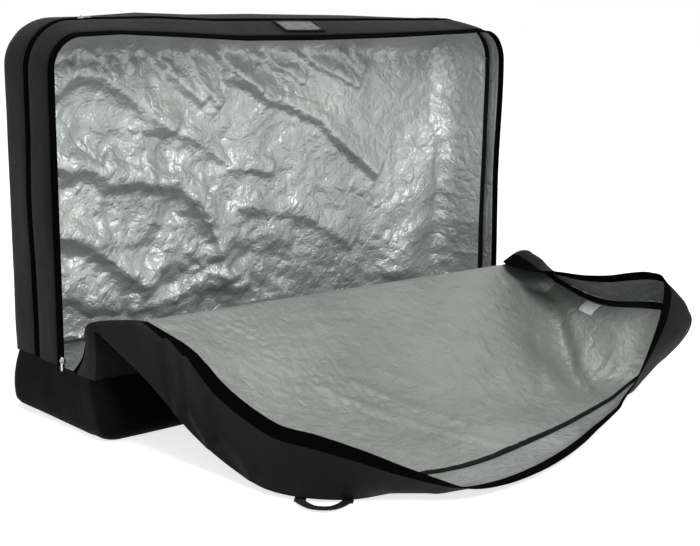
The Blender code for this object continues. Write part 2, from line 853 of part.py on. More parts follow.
def edge_stations(start, end):
    """The runs round the cover's edge at which its rows and columns meet it."""
    runs = []
    for along, _, _ in slope_cloth + apron_cloth:
        past = min(max(along - side_run, 0.0) / cover_corner_radius, 1.0)
        runs.append(min(along, side_run) + cover_corner_radius * math.asin(past))
    runs += [edge_run - run for run in runs]
    runs += [side_run + corner_run + front_run * i / cover_columns
             for i in range(1, cover_columns)]
    clear = rim_split_gap * 2
    between = [run for run in sorted(runs) if start + clear < run < end - clear]
    return [start] + between + [end]


def rim_frame(run):
    """The rim's foot on the cloth, its direction and its outward normal, at one run."""
    foot, upward = cloth(*edge_spot(run))
    foot = foot + upward * (cover_thickness + rim_foot_gap)
    knots = [share for share, _ in rim_lean_shares]
    leans = [Vector((right, -forward, up)) for _, (right, forward, up) in rim_lean_shares]
    direction = smooth_step(knots, leans, run / edge_run).normalized()
    step = edge_run * edge_step_share
    ahead = cover_point(*edge_spot(min(run + step, edge_run)))
    behind = cover_point(*edge_spot(max(run - step, 0.0)))
    normal = (ahead - behind).cross(direction).normalized()
    return foot, direction, normal


def rim_band(name, start, end, profile, material):
    """A strip along the cover's edge; its profile is (out from the foot, outward) corners."""
    rings = []
    for run in edge_stations(start, end):
        foot, direction, normal = rim_frame(run)
        rings.append([foot + direction * reach + normal * out for reach, out in profile])
    strip_loft(name, rings, [reach for reach, _ in profile], material)


def two_faced(stops):
    """A strip's profile from (reach, height) stops: flat below, and back over their heights."""
    return [(reach, 0) for reach, _ in stops] + list(reversed(stops))


def rim_profile():
    return two_faced([(0, rim_thickness), (rim_width / 2, rim_thickness),
                      (rim_width, rim_thickness)])


def rim_tape_profile():
    low = rim_width + rim_foot_gap
    high = low + rim_tape_width
    slope = coil_width * coil_slope_share
    return two_faced([(low, tape_thickness), (high - coil_width, tape_thickness),
                      (high - coil_width + slope, coil_height), (high - slope, coil_height),
                      (high, tape_thickness)])


def make_riser():
    """The cover's lowest part, which stays up between the base's front edge and the crest."""
    low = shell_foot
    high = crest_height - seam_gap
    inner = front_y + cover_thickness
    straight = half_length - seam_gap
    outline = [(-straight, front_y), (straight, front_y), (straight, inner), (-straight, inner)]
    plate("cover_riser", outline, high - low, (0, 0, (low + high) / 2), (0, 0, 0), nylon)
    start = inner + seam_gap
    end = front_y + riser_gusset_depth
    tape_end = end + binding_width
    for name, side in (("left", -1), ("right", 1)):
        outer = side * half_length
        inside = side * (half_length - rim_thickness)
        outline = [(outer, start), (outer, end), (inside, end), (inside, start)]
        plate("riser_gusset_" + name, outline, high - low, (0, 0, (low + high) / 2),
              (0, 0, 0), nylon)
        rings = []
        face = side * half_length
        back = side * (half_length - tape_thickness)
        route = [(end + seam_gap, high, tape_end, high),
                 (end + seam_gap, low, tape_end, low + binding_width),
                 (opening_y - slider_length, low, opening_y - slider_length,
                  low + binding_width)]
        for y, z, other_y, other_z in route:
            rings.append([Vector((face, y, z)), Vector((face, other_y, other_z)),
                          Vector((back, other_y, other_z)), Vector((back, y, z))])
        loft("riser_zip_" + name, rings, tape)


def make_cover():
    split = middle_fold_run
    half_gap = rim_split_gap / 2
    ribbon("cover_slope", [points for _, points, _ in slope_cloth], cover_thickness, nylon)
    ribbon("cover_apron", [points for _, points, _ in apron_cloth], cover_thickness, nylon)
    far_split = edge_run - split
    stretches = (
        ("slope_rim_left", crest_rim_start, split - half_gap),
        ("apron_rim_left", split + half_gap, lip_start - half_gap),
        ("cover_lip", lip_start + half_gap, lip_end - half_gap),
        ("apron_rim_right", lip_end + lip_end_gap, far_split - half_gap),
        ("slope_rim_right", far_split + half_gap, edge_run - crest_rim_start),
    )
    for name, start, end in stretches:
        rim_band(name, start, end, rim_profile(), nylon)
        tape_name = name.replace("_rim", "_zip").replace("cover_lip", "lip_zip")
        rim_band(tape_name, start, end, rim_tape_profile(), tape)


def inner_band(name, start, end, inset, width, thickness, material):
    """A flat trim on the cloth's upper face, a little inside the cover's edge."""
    profile = two_faced([(inset, thickness), (inset + width, thickness)])
    rings = []
    for run in edge_stations(start, end):
        ring = []
        for reach, top in profile:
            place, upward = cloth(*edge_spot(run, reach))
            ring.append(place + upward * (cover_thickness + cover_trim_gap + top))
        rings.append(ring)
    strip_loft(name, rings, [reach for reach, _ in profile], material)


def make_cover_bindings():
    split = middle_fold_run
    half_gap = rim_split_gap / 2
    far_split = edge_run - split
    for name, start, end in (
            ("slope_binding_left", cover_binding_start, split - half_gap),
            ("apron_binding", split + half_gap, far_split - half_gap),
            ("slope_binding_right", far_split + half_gap, edge_run - cover_binding_start)):
        inner_band(name, start, end, cover_binding_inset, cover_binding_width,
                   binding_thickness, binding)
    inner_band("care_label", care_label_run - care_label_length / 2,
               care_label_run + care_label_length / 2, care_label_offset,
               care_label_width, care_label_thickness, label)


def loop_frame():
    """Where the grab loop leaves the cover's seam: place, run of the seam and way out."""
    step = loop_outer_length / 2
    ahead = cover_point(*edge_spot(loop_run + step))
    behind = cover_point(*edge_spot(loop_run - step))
    along = ahead - behind
    along.z = 0
    along.normalize()
    out = along.cross(Vector((0, 0, 1)))
    place = (ahead + behind) / 2
    place.z = 0
    return place, along, out


def make_loop():
    """A flat webbing loop: both ends sewn under the corner, its bight lying on the floor."""
    place, along, out = loop_frame()
    edge = cover_point(*edge_spot(loop_run))
    hinge_out = (edge - place).dot(out) + loop_hinge_out
    hinge = place + out * hinge_out + Vector((0, 0, edge.z - loop_drop))
    tilt = Matrix.Rotation(math.radians(loop_tilt), 4, "X")
    frame = frame_of(hinge, along, out, along.cross(out)) @ tilt
    outer = loop_outer_length / 2
    inner = outer - webbing_width
    tip = loop_outer_depth - loop_tuck
    radius = loop_bend_radius
    small = loop_inner_bend_radius
    foot = seam_gap / 2
    outline = ([(-outer, foot)]
               + arc((-outer + radius, tip - radius), radius, 180, 90, wall_arc_steps)
               + arc((outer - radius, tip - radius), radius, 90, 0, wall_arc_steps)
               + [(outer, foot), (inner, foot)]
               + arc((inner - small, tip - webbing_width - small), small, 0, 90, wall_arc_steps)
               + arc((-inner + small, tip - webbing_width - small), small, 90, 180,
                     wall_arc_steps)
               + [(-inner, foot)])
    loop = plate("grab_loop", outline, webbing_thickness, (0, 0, 0), (0, 0, 0), webbing)
    loop.matrix_world = frame
    for name, low, high in (("loop_end_left", inner, outer), ("loop_end_right", -outer, -inner)):
        outline = [(low, -loop_tuck - loop_hinge_out), (high, -loop_tuck - loop_hinge_out),
                   (high, -foot), (low, -foot)]
        end = plate(name, outline, webbing_thickness, (0, 0, 0), (0, 0, 0), webbing)
        end.matrix_world = frame
    return frame @ Vector((0, 0, -webbing_thickness / 2))


# Empties on the joints' axes, each carrying the pieces that turn there

def make_pivots(loop_hinge):
    crest = hang_on("cover_fold_pivot", (0, front_y, crest_height),
                    ("cover_slope", "slope_rim_left", "slope_rim_right", "slope_zip_left",
                     "slope_zip_right", "slope_binding_left", "slope_binding_right",
                     "care_label"))
    middle = hang_on("middle_fold_pivot",
                     (0, front_y - middle_fold_forward, middle_fold_height),
                     ("cover_apron", "apron_rim_left", "apron_rim_right", "apron_zip_left",
                      "apron_zip_right", "apron_binding", "loop_end_left", "loop_end_right"),
                     crest)
    feet = [rim_frame(run)[0] for run in (lip_start, lip_end)]
    lip = (feet[0] + feet[1]) / 2
    hang_on("lip_fold_pivot", (lip.x, lip.y, lip_hinge_height), ("cover_lip", "lip_zip"), middle)
    hang_on("loop_pivot", loop_hinge, ("grab_loop",), middle)


make_base()
make_base_inside()
make_shell()
make_sliders()
make_pocket()
make_riser()
make_cover()
make_cover_bindings()
make_pivots(make_loop())
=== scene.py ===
import math
from itertools import product

import bpy
import numpy as np
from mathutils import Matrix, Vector


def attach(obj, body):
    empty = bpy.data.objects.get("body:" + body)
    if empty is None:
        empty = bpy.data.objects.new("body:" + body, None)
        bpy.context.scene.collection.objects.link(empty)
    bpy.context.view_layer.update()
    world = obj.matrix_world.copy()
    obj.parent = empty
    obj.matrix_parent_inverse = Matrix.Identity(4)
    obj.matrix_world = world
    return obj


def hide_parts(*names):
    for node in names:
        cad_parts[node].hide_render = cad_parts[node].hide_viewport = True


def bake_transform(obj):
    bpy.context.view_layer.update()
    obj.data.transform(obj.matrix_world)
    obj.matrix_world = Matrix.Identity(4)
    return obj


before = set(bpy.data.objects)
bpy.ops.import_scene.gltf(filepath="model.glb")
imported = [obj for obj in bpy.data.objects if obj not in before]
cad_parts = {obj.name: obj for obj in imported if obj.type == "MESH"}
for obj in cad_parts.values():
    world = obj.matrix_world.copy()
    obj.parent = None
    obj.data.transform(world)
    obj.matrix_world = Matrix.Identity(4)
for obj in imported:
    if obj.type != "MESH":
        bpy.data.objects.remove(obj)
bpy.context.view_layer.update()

# Sizes of the bag
bag_length = 1.300
bag_height = 0.878
base_depth = 0.368
base_height = 0.132
shell_depth = 0.225
rear_strip_width = 0.105
top_corner_radius = 0.105
opening_side_inset = 0.0025
opening_top_drop = 0.034
corner_pull = 0.036
right_corner_pull = 0.050
right_corner_drop = 0.020
right_bulge = 0.014
seam_gap = 0.0004
skin_thickness = 0.0025
skin_puff = 0.0022
gather_rows = 3
gather_slant_share = 0.18
gather_depth = 0.0016
gather_pitch = 0.020
rear_gather_depth = 0.0014
rear_gather_pitch = 0.022
rear_edge_radius = 0.007
tape_thickness = 0.0012
main_tape_width = 0.028
hem_reach = 0.012
expansion_tape_width = 0.024
coil_width = 0.0060
coil_height = 0.0022
coil_sink = 0.0004
binding_width = 0.016
binding_thickness = 0.0020
binding_depth = 0.0035
binding_crown = 0.001
side_steps = 64
corner_steps = 14
top_steps = 110

# How the standing cloth gives
give_below_top = 0.20
full_give_below_top = 0.04
side_give_reach = 0.12
stiff_edge_width = 0.015
loose_edge_width = 0.060
side_wave_size = 0.16
side_wave_height = 0.0035
side_wave_top = 0.22
side_bow = 0.004
right_bulge_rise = (0.42, 0.74)
top_wave_size = 0.22
top_wave_height = 0.004

# Sizes of the lining and the padded back
lining_lap = 0.052
lining_depth = 0.0040
lining_thickness = 0.0010
lining_foot_gap = 0.002
lining_back_gap = 0.014
lining_turn = 0.075
lining_slack = 0.028
lining_move_limit = 0.014
lining_room = 0.0034
lining_back_room = 0.011
lining_columns = 150
lining_rows = 92
lining_fine = 2
settle_steps = 26
lining_edge_cells = 8
lining_border_cells = 6
lining_top_band = (0.55, 0.75)
lining_calm_band = (-0.20, 0.35)
lining_calm_share = 0.45
lining_wide_crease = 0.100
lining_fine_crease = 0.040
lining_slant_crease = 0.055
lining_crease_share = 0.055
lining_slant_crease_share = 0.030
cloth_behaviour = {
    "quality": 5, "mass": 0.12, "tension_stiffness": 14, "compression_stiffness": 14,
    "shear_stiffness": 7, "bending_stiffness": 0.15, "air_damping": 2.0,
}
panel_thickness = 0.010
panel_side_inset = 0.008
panel_top_inset = 0.008
panel_corner_inset = 0.007
panel_back_inset = 0.002
panel_swell = 0.006
panel_swell_reach = 0.09
panel_ripple_size = 0.14
panel_ripple_height = 0.003
panel_crease_size = 0.07
panel_crease_height = 0.0012

# Sizes of the base
base_corner_radius = 0.030
base_foot_radius = 0.026
base_foot_gap = 0.0012
base_foot_insets = (0.16, 0.12, 0.08, 0.05)
base_least_radius = 0.004
base_ripple_size = 0.13
base_ripple_height = 0.0035
base_fine_ripple_size = 0.05
base_fine_ripple_height = 0.0014
base_rear_band = 0.05
base_left_band = (-0.60, -0.30)
base_drift_end = -0.02
base_bulge = 0.006
base_wall = 0.004
front_left_drift = 0.040
rear_left_bulge = 0.011

# Sizes of the front cover
crest_height = 0.245
cover_reach = 0.660
cover_corner_radius = 0.140
cover_thickness = 0.0035
riser_depth = 0.040
riser_bow = 0.006
riser_ripple_size = 0.15
riser_ripple_height = 0.004
riser_top_drop = 0.012
crest_lap = 0.004
panel_columns = 230
relief_margin = 0.05
cover_ripple_size = 0.16
cover_ripple_height = 0.0022
cover_fine_ripple_size = 0.055
cover_fine_ripple_height = 0.0007
cover_crease_size = 0.045
cover_crease_share = 0.024
streak_start = 0.30
streak_slope_share = 0.42
streak_width = 0.10
streak_size = 0.028
streak_height_share = 0.075
floor_gap = 0.0005
edge_step = 0.005
rim_width = 0.092
rim_thickness = 0.0025
rim_tuck = 0.004
rim_tape_width = 0.028
rim_tape_thickness = 0.0022
rim_tape_lap = 0.0020
rim_tape_steps = (0.010, 0.019, 0.022, 0.025)
rim_start = 0.035
rim_bow_height = 0.010
left_crest_bow = 0.018
right_crest_bow = 0.034
left_crest_fade = (0.05, 0.16)
right_crest_fade = (0.06, 0.19)
rim_tape_fade = (0.05, 0.30)
rim_ripple_size = 0.11
rim_ripple_height = 0.005
rim_fine_ripple_size = 0.05
rim_fine_ripple_height = 0.0034
left_arch_inset = 0.008
right_arch_inset = 0.085
left_arch_depth = 0.095
arch_low_height = 0.170
arch_high_height = 0.206
arch_top_drop = 0.002
arch_foot_bow = 0.004
panel_split = 0.165
lip_start = 0.90
lip_end = 1.64
lip_hinge = Vector((0.073, -0.776, 0.0145))
lip_axis = Vector((-0.5661, -0.1434, 0.0)).normalized()
lip_bend = (0.012, 0.050)
seam_binding_inset = 0.009
seam_edge_inset = 0.0015
seam_corner_inset = 0.022
seam_binding_width = 0.014
seam_binding_start = 0.030
seam_binding_crown = 0.0012
seam_front_start = (0.60, 0.80)
seam_front_end = (1.55, 1.72)
seam_corner_run = 0.88
seam_corner_reach = 0.11
trim_thickness = 0.0018
trim_gap = 0.0012

# Sizes of the small pieces
pocket_length = 0.118
pocket_width = 0.062
pocket_border = 0.008
pocket_centre_x = 0.045
pocket_rise = 0.0032
pocket_wave_size = 0.03
pocket_border_thickness = 0.0014
pocket_border_sink = 0.0004
pocket_border_crown = 0.0026
card_lift = 0.0010
card_thickness = 0.0006
card_wave = 0.0006
film_lift = 0.0026
film_thickness = 0.0005
film_wave = 0.0010
care_label_from_crest = 0.310
care_label_length = 0.050
care_label_width = 0.030
care_label_offset = 0.019
care_label_crown = 0.0015
webbing_width = 0.022
webbing_thickness = 0.0024
webbing_narrow_share = 0.8
webbing_crown = 0.0004
webbing_lift = 0.0014
webbing_hump = 0.0012
loop_length = 0.112
loop_drop = 0.046
loop_place = (-0.51464, -0.79984, 0.00414)
loop_axis = (-0.72767, 0.68593, 0.0)
loop_run = 0.62
loop_run_reach = 0.12
loop_flattening = 0.013

# The camera that took the photograph, and its frame
photo_width = 700
camera_place = (-2.1946, -3.0115, 0.9739)
camera_pitch = 10.88
camera_yaw = 38.25
camera_focal_pixels = 1553.4
camera_sensor = 36.0
camera_sight = 60

# The studio: each lamp's name, place, target, size and power, and the floor
lamps = (
    ("key", (-0.5, -3.4, 2.8), (0.0, -0.1, 0.4), 1.5, 92),
    ("top", (-0.4, -0.7, 3.4), (0.0, -0.1, 0.4), 2.0, 42),
    ("fill", (-3.0, -1.6, 1.8), (0.0, 0.0, 0.4), 2.4, 2),
)
floor_reach = 14.0
floor_drop = 0.0006
floor_glow_band = (0.9, 3.0)
floor_glow_range = (0.75, 0.92)

# Places worked out from the sizes
half_length = bag_length / 2
front_y = -base_depth / 2
rear_y = base_depth / 2
opening_y = rear_y - shell_depth
mid_y = rear_y - rear_strip_width
shell_foot = base_height + seam_gap
side_run = cover_reach - cover_corner_radius
corner_run = cover_corner_radius * math.pi / 2
front_run = bag_length - 2 * cover_corner_radius
edge_run = 2 * side_run + 2 * corner_run + front_run
crest_bend = ((0, front_y, crest_height - 0.020), (0, front_y - 0.031, crest_height - 0.013))
middle_bend = ((0, -0.43, 0.075), (0, -0.475, 0.06))

# Where the cover's cloth lies, as shares of bag length, reach and crest height
across_shares = (0.0, 0.25, 0.50, 0.75, 0.88, 1.0)
along_shares = (0.0, 0.25, 0.50, 0.75, 1.0)
cover_place_shares = (
    ((0.000, 0.00, 1.00), (0.250, 0.00, 1.00), (0.500, 0.00, 1.00),
     (0.750, 0.00, 1.00), (0.875, 0.00, 1.00), (0.990, 0.00, 1.00)),
    ((0.026, 0.23, 0.66), (0.262, 0.22, 0.69), (0.508, 0.21, 0.70),
     (0.752, 0.20, 0.68), (0.868, 0.19, 0.66), (0.978, 0.20, 0.84)),
    ((0.046, 0.45, 0.28), (0.275, 0.46, 0.33), (0.520, 0.44, 0.37),
     (0.762, 0.42, 0.33), (0.872, 0.39, 0.31), (0.975, 0.42, 0.76)),
    ((0.060, 0.69, 0.07), (0.288, 0.73, 0.11), (0.532, 0.69, 0.14),
     (0.775, 0.60, 0.13), (0.890, 0.56, 0.18), (0.995, 0.64, 0.82)),
    ((0.066, 0.96, 0.02), (0.298, 1.01, 0.02), (0.540, 0.93, 0.03),
     (0.785, 0.78, 0.04), (0.912, 0.69, 0.12), (1.060, 0.87, 0.80)),
)

# Where a zip's coil stands proud, the crest's arch has its knots and the loop its bends
coil_profile_shares = ((0.0, 0.0), (0.25, 0.7), (0.5, 1.0), (0.75, 0.7), (1.0, 0.0))
arch_shares = (0.0, 0.28, 0.55, 0.78, 1.0)
loop_shares = ((-1.0, -0.03), (-0.92, 0.20), (-0.70, 0.62), (-0.42, 0.90), (0.0, 0.97),
               (0.40, 0.84), (0.72, 0.50), (0.94, 0.18), (1.0, -0.03))

# How the rim leans at shares of its run: to the right, forward and up
rim_lean_shares = (
    (0.008, (0.97, -0.20, 0.08)), (0.020, (0.96, -0.18, 0.13)), (0.040, (0.93, -0.18, 0.24)),
    (0.066, (0.87, -0.16, 0.40)), (0.100, (0.72, -0.12, 0.66)), (0.132, (0.48, 0.00, 0.88)),
    (0.200, (0.39, -0.04, 0.92)), (0.235, (0.30, 0.00, 0.94)), (0.256, (0.14, 0.25, 0.95)),
    (0.272, (0.07, 0.46, 0.88)), (0.296, (0.02, 0.73, 0.68)), (0.320, (0.04, 0.88, 0.44)),
    (0.352, (0.03, 0.97, 0.18)), (0.392, (0.04, 0.99, 0.075)), (0.440, (0.03, 1.00, 0.065)),
    (0.480, (-0.05, 1.00, 0.10)), (0.520, (-0.17, 0.97, 0.16)), (0.556, (-0.30, 0.93, 0.22)),
    (0.600, (-0.48, 0.86, 0.21)), (0.650, (-0.62, 0.76, 0.20)), (0.690, (-0.69, 0.69, 0.24)),
    (0.704, (-0.74, 0.58, 0.33)), (0.736, (-0.80, 0.12, 0.59)), (0.760, (-0.58, -0.22, 0.78)),
    (0.780, (-0.68, -0.19, 0.70)), (0.820, (-0.79, -0.02, 0.62)), (0.860, (-0.79, 0.08, 0.61)),
    (0.900, (-0.84, 0.10, 0.53)), (0.940, (-0.94, 0.00, 0.32)), (0.970, (-0.98, 0.02, 0.18)),
    (0.992, (-0.99, 0.00, 0.08)),
)

# How far the shell's top edges rise or sag, at shares of the bag's length
rear_rise_shares = (0.0, 0.13, 0.25, 0.36, 0.50, 0.72, 0.90, 1.0)
rear_rises = (0.0, 0.000, 0.010, 0.004, 0.003, -0.006, -0.020, -0.016)
front_rise_shares = (0.0, 0.07, 0.13, 0.25, 0.38, 0.54, 0.73, 0.90, 1.0)
front_rises = (0.0, 0.002, 0.004, -0.006, -0.018, -0.022, -0.021, -0.017, -0.013)

# Single folds: the places along each, its width on its two sides and its height.
# The lining's are swags that hang from the left seam and streaks below the top.
lining_folds = (
    (((0.05, 0.69), (0.15, 0.762), (0.22, 0.755), (0.30, 0.70), (0.40, 0.62)),
     0.050, 0.020, 0.026),
    (((0.06, 0.555), (0.20, 0.540), (0.24, 0.505), (0.32, 0.508), (0.40, 0.490),
      (0.48, 0.440), (0.535, 0.34), (0.56, 0.25)), 0.050, 0.020, 0.026),
    (((0.05, 0.41), (0.18, 0.365), (0.26, 0.310), (0.34, 0.245)), 0.045, 0.018, 0.024),
    (((0.05, 0.27), (0.16, 0.235), (0.26, 0.20)), 0.035, 0.016, 0.016),
    (((0.57, 0.735), (0.63, 0.725), (0.69, 0.68), (0.73, 0.672), (0.855, 0.615),
      (0.95, 0.530), (1.04, 0.465)), 0.040, 0.012, 0.018),
    (((0.17, 0.86), (0.24, 0.785)), 0.020, 0.010, 0.012),
    (((0.27, 0.86), (0.30, 0.76)), 0.022, 0.010, 0.012),
    (((0.32, 0.86), (0.43, 0.73), (0.50, 0.68)), 0.026, 0.010, 0.014),
    (((0.43, 0.86), (0.49, 0.732), (0.55, 0.67)), 0.022, 0.009, 0.013),
    (((0.49, 0.85), (0.60, 0.742), (0.66, 0.70)), 0.022, 0.010, 0.012),
    (((0.60, 0.85), (0.72, 0.76), (0.80, 0.72)), 0.022, 0.010, 0.010),
    (((0.72, 0.85), (0.84, 0.76), (0.98, 0.70)), 0.024, 0.010, 0.010),
    (((0.88, 0.85), (1.00, 0.74)), 0.020, 0.010, 0.008),
    (((1.11, 0.20), (1.13, 0.26), (1.20, 0.40), (1.26, 0.54)), 0.080, 0.120, 0.026),
    (((0.34, 0.63), (0.47, 0.60), (0.58, 0.52), (0.70, 0.50)), 0.030, 0.012, 0.010),
    (((0.60, 0.42), (0.80, 0.38), (0.96, 0.29)), 0.040, 0.016, 0.010),
    (((0.30, 0.20), (0.50, 0.24), (0.62, 0.22)), 0.030, 0.016, 0.012),
)
cover_folds = (
    (((1.27, 0.14), (1.235, 0.205), (1.20, 0.265), (1.165, 0.335), (1.105, 0.43),
      (1.065, 0.52), (1.015, 0.615)), 0.070, 0.020, -0.030),
    (((1.12, 0.255), (1.07, 0.31), (0.985, 0.385), (0.89, 0.495)), 0.030, 0.012, -0.005),
    (((1.27, 0.30), (1.235, 0.44), (1.16, 0.56)), 0.030, 0.024, 0.006),
    (((0.90, 0.245), (0.87, 0.31)), 0.010, 0.006, 0.0024),
    (((0.94, 0.20), (0.86, 0.285)), 0.010, 0.006, 0.0020),
    (((0.99, 0.10), (0.97, 0.19)), 0.010, 0.006, 0.0018),
    (((0.875, 0.345), (0.835, 0.425)), 0.010, 0.006, 0.0026),
    (((0.80, 0.33), (0.77, 0.40)), 0.010, 0.006, 0.0020),
    (((0.755, 0.38), (0.725, 0.46)), 0.010, 0.006, 0.0024),
    (((0.69, 0.44), (0.645, 0.55)), 0.011, 0.007, 0.0026),
    (((0.82, 0.46), (0.79, 0.54)), 0.010, 0.006, 0.0022),
    (((0.37, 0.29), (0.46, 0.43), (0.53, 0.56), (0.57, 0.63)), 0.022, 0.010, 0.0060),
    (((0.46, 0.29), (0.52, 0.41), (0.60, 0.55)), 0.018, 0.009, 0.0045),
    (((0.55, 0.28), (0.66, 0.40)), 0.014, 0.008, 0.0018),
    (((1.10, 0.50), (1.20, 0.49)), 0.014, 0.008, 0.0025),
    (((0.20, 0.50), (0.55, 0.55), (0.90, 0.58)), 0.050, 0.040, 0.004),
)
rim_folds = (
    (((0.13, 0.085), (0.18, 0.050), (0.27, 0.010)), 0.024, 0.010, 0.015),
    (((0.20, 0.085), (0.26, 0.050), (0.37, 0.010)), 0.024, 0.010, 0.013),
    (((0.33, 0.085), (0.40, 0.045), (0.50, 0.010)), 0.026, 0.012, 0.008),
)


# Materials

class Wiring:
    """Adds and links the nodes of one tree."""

    def __init__(self, tree, coords="Object"):
        self.tree = tree
        self.coords = self.node("TexCoord").outputs[coords]

    def node(self, kind, **settings):
        node = self.tree.nodes.new("ShaderNode" + kind)
        for key, value in settings.items():
            setattr(node, key, value)
        return node

    def feed(self, node, inputs):
        """Links each input named to a socket, or sets it to a plain value."""
        for name, value in inputs.items():
            if isinstance(value, bpy.types.NodeSocket):
                self.tree.links.new(value, node.inputs[name])
            else:
                node.inputs[name].default_value = value
        return node

    def work_out(self, operation, *values):
        """One Math node's result, from sockets or plain numbers."""
        node = self.node("Math", operation=operation)
        return self.feed(node, dict(enumerate(values))).outputs[0]

    def noise(self, size, detail=3.0, kind="FBM"):
        """A noise whose features are about size metres across."""
        node = self.node("TexNoise", noise_type=kind)
        self.feed(node, {"Scale": 1 / size, "Detail": detail, "Vector": self.coords})
        return node.outputs[0]

    def tint(self, share, dark, light):
        """A colour between two, by a share."""
        node = self.node("Mix", data_type="RGBA")
        return self.feed(node, {0: share, 6: (*dark, 1), 7: (*light, 1)}).outputs[2]

    def ranged(self, value, low, high, first, last):
        """A value carried from the range low to high onto first to last."""
        node = self.node("MapRange")
        return self.feed(node, dict(enumerate((value, low, high, first, last)))).outputs[0]

    def bump(self, height, distance, strength, below=None):
        node = self.node("Bump")
        self.feed(node, {"Distance": distance, "Strength": strength, "Height": height})
        if below is not None:
            self.feed(node, {"Normal": below})
        return node.outputs[0]

    def threads(self, pitch):
        """The height of a plain weave: threads over and under each other on all three axes."""
        parts = self.feed(self.node("SeparateXYZ"), {0: self.coords})
        waves = [self.work_out("SINE", self.work_out("MULTIPLY", axis, math.pi / pitch))
                 for axis in parts.outputs]
        pairs = [self.work_out("MULTIPLY", waves[i], waves[(i + 1) % 3]) for i in range(3)]
        return self.work_out("ADD", self.work_out("ADD", pairs[0], pairs[1]), pairs[2])

    def facets(self, size):
        """The height of crumpled foil: creases between flats about size across, bent by a noise."""
        bend = self.feed(self.node("TexNoise"), {"Scale": 0.5 / size, "Vector": self.coords})
        moved = self.node("VectorMath", operation="MULTIPLY_ADD")
        self.feed(moved, {0: bend.outputs["Color"], 1: (1.6 * size,) * 3, 2: self.coords})
        first, second = (
            self.feed(self.node("TexVoronoi", feature=kind),
                      {"Scale": 1 / size, "Vector": moved.outputs[0]}).outputs["Distance"]
            for kind in ("F1", "F2"))
        return self.work_out("SUBTRACT", second, first)

    def seen_directly(self):
        """1 for what the camera, a mirror or glass sees, else 0."""
        path = self.node("LightPath")
        seen = self.work_out("MAXIMUM", path.outputs["Is Camera Ray"], path.outputs["Is Glossy Ray"])
        return self.work_out("MAXIMUM", seen, path.outputs["Is Transmission Ray"])


def new_material(name, coords="Object"):
    """A material's wiring and the call that sets its shader's inputs."""
    material = bpy.data.materials.new(name)
    material.use_nodes = True
    wires = Wiring(material.node_tree, coords)

    def finish(inputs):
        wires.feed(wires.tree.nodes["Principled BSDF"], inputs)
        return material

    return wires, finish


def woven(name, dark, light, roughness, thread, gloss, sheen):
    """A black woven cloth: threads, soft creases, faint wear and a dull sheen."""
    wires, finish = new_material(name)
    wide = wires.noise(0.16, 4.0)
    fine = wires.noise(0.012, 5.0)
    wear = wires.ranged(wires.work_out("MULTIPLY", wide, fine), 0.12, 0.42, 0.0, 1.0)
    creased = wires.bump(wires.noise(0.045), 0.004, 0.35)
    return finish({
        "Base Color": wires.tint(wear, dark, light),
        "Roughness": wires.ranged(fine, 0.3, 0.7, roughness - 0.06, roughness + 0.06),
        "Normal": wires.bump(wires.threads(thread), 0.0002, 0.5, creased),
        "Specular IOR Level": gloss,
        "Sheen Weight": sheen,
        "Sheen Roughness": 0.5,
    })


def foil(name, dark, light, roughness, metallic, crinkle):
    """A coated silver lining: crinkles of several sizes over a fine embossed weave."""
    wires, finish = new_material(name)
    wide = wires.ranged(wires.noise(0.22, 4.0), 0.35, 0.65, 0, 1)
    grain = wires.noise(0.020, 6.0)
    tiny = wires.noise(0.006, 4.0, "RIDGED_MULTIFRACTAL")
    first = wires.bump(wires.facets(0.030), 0.0065 * crinkle, 0.8)
    second = wires.bump(wires.facets(0.011), 0.0024 * crinkle, 0.8, first)
    third = wires.bump(tiny, 0.0006 * crinkle, 0.6, second)
    return finish({
        "Base Color": wires.tint(wide, dark, light),
        "Roughness": wires.ranged(grain, 0.3, 0.7, roughness - 0.07, roughness + 0.09),
        "Normal": wires.bump(wires.threads(0.0022), 0.00012, 0.4, third),
        "Metallic": metallic,
        "Specular IOR Level": 0.5,
    })


def coil_material():
    """A zip's tape and coil: fine teeth across the run, worked out from the cloth's own map."""
    wires, finish = new_material("zip_tape", "UV")
    parts = wires.feed(wires.node("SeparateXYZ"), {0: wires.coords})
    teeth = wires.work_out("SINE", wires.work_out("MULTIPLY", parts.outputs[0], 2 * math.pi / 0.0022))
    return finish({
        "Base Color": wires.tint(wires.noise(0.01), (0.0015,) * 3, (0.0045,) * 3),
        "Normal": wires.bump(teeth, 0.0005, 0.6),
        "Roughness": 0.62,
        "Specular IOR Level": 0.0005,
    })


def nickel_material():
    wires, finish = new_material("nickel")
    grain = wires.noise(0.004, 4.0)
    return finish({
        "Base Color": wires.tint(grain, (0.42, 0.41, 0.39), (0.62, 0.60, 0.57)),
        "Roughness": wires.ranged(grain, 0.3, 0.7, 0.22, 0.38),
        "Normal": wires.bump(grain, 0.0002, 0.3),
        "Metallic": 1.0,
    })


def film_material():
    wires, finish = new_material("clear_film")
    ripple = wires.noise(0.02, 2.0)
    return finish({
        "Base Color": wires.tint(ripple, (0.80, 0.82, 0.80), (0.92, 0.93, 0.92)),
        "Normal": wires.bump(ripple, 0.002, 0.5),
        "Roughness": 0.30,
        "Alpha": 0.08,
        "Specular IOR Level": 0.03,
    })


def paper_material(name, dark, light, size):
    """Card, label cloth or board: a pale or dull sheet with a soft grain."""
    wires, finish = new_material(name)
    grain = wires.noise(size, 4.0)
    return finish({
        "Base Color": wires.tint(wires.ranged(grain, 0.35, 0.65, 0, 1), dark, light),
        "Normal": wires.bump(grain, size / 8, 0.4),
        "Roughness": 0.72,
        "Specular IOR Level": 0.05,
    })


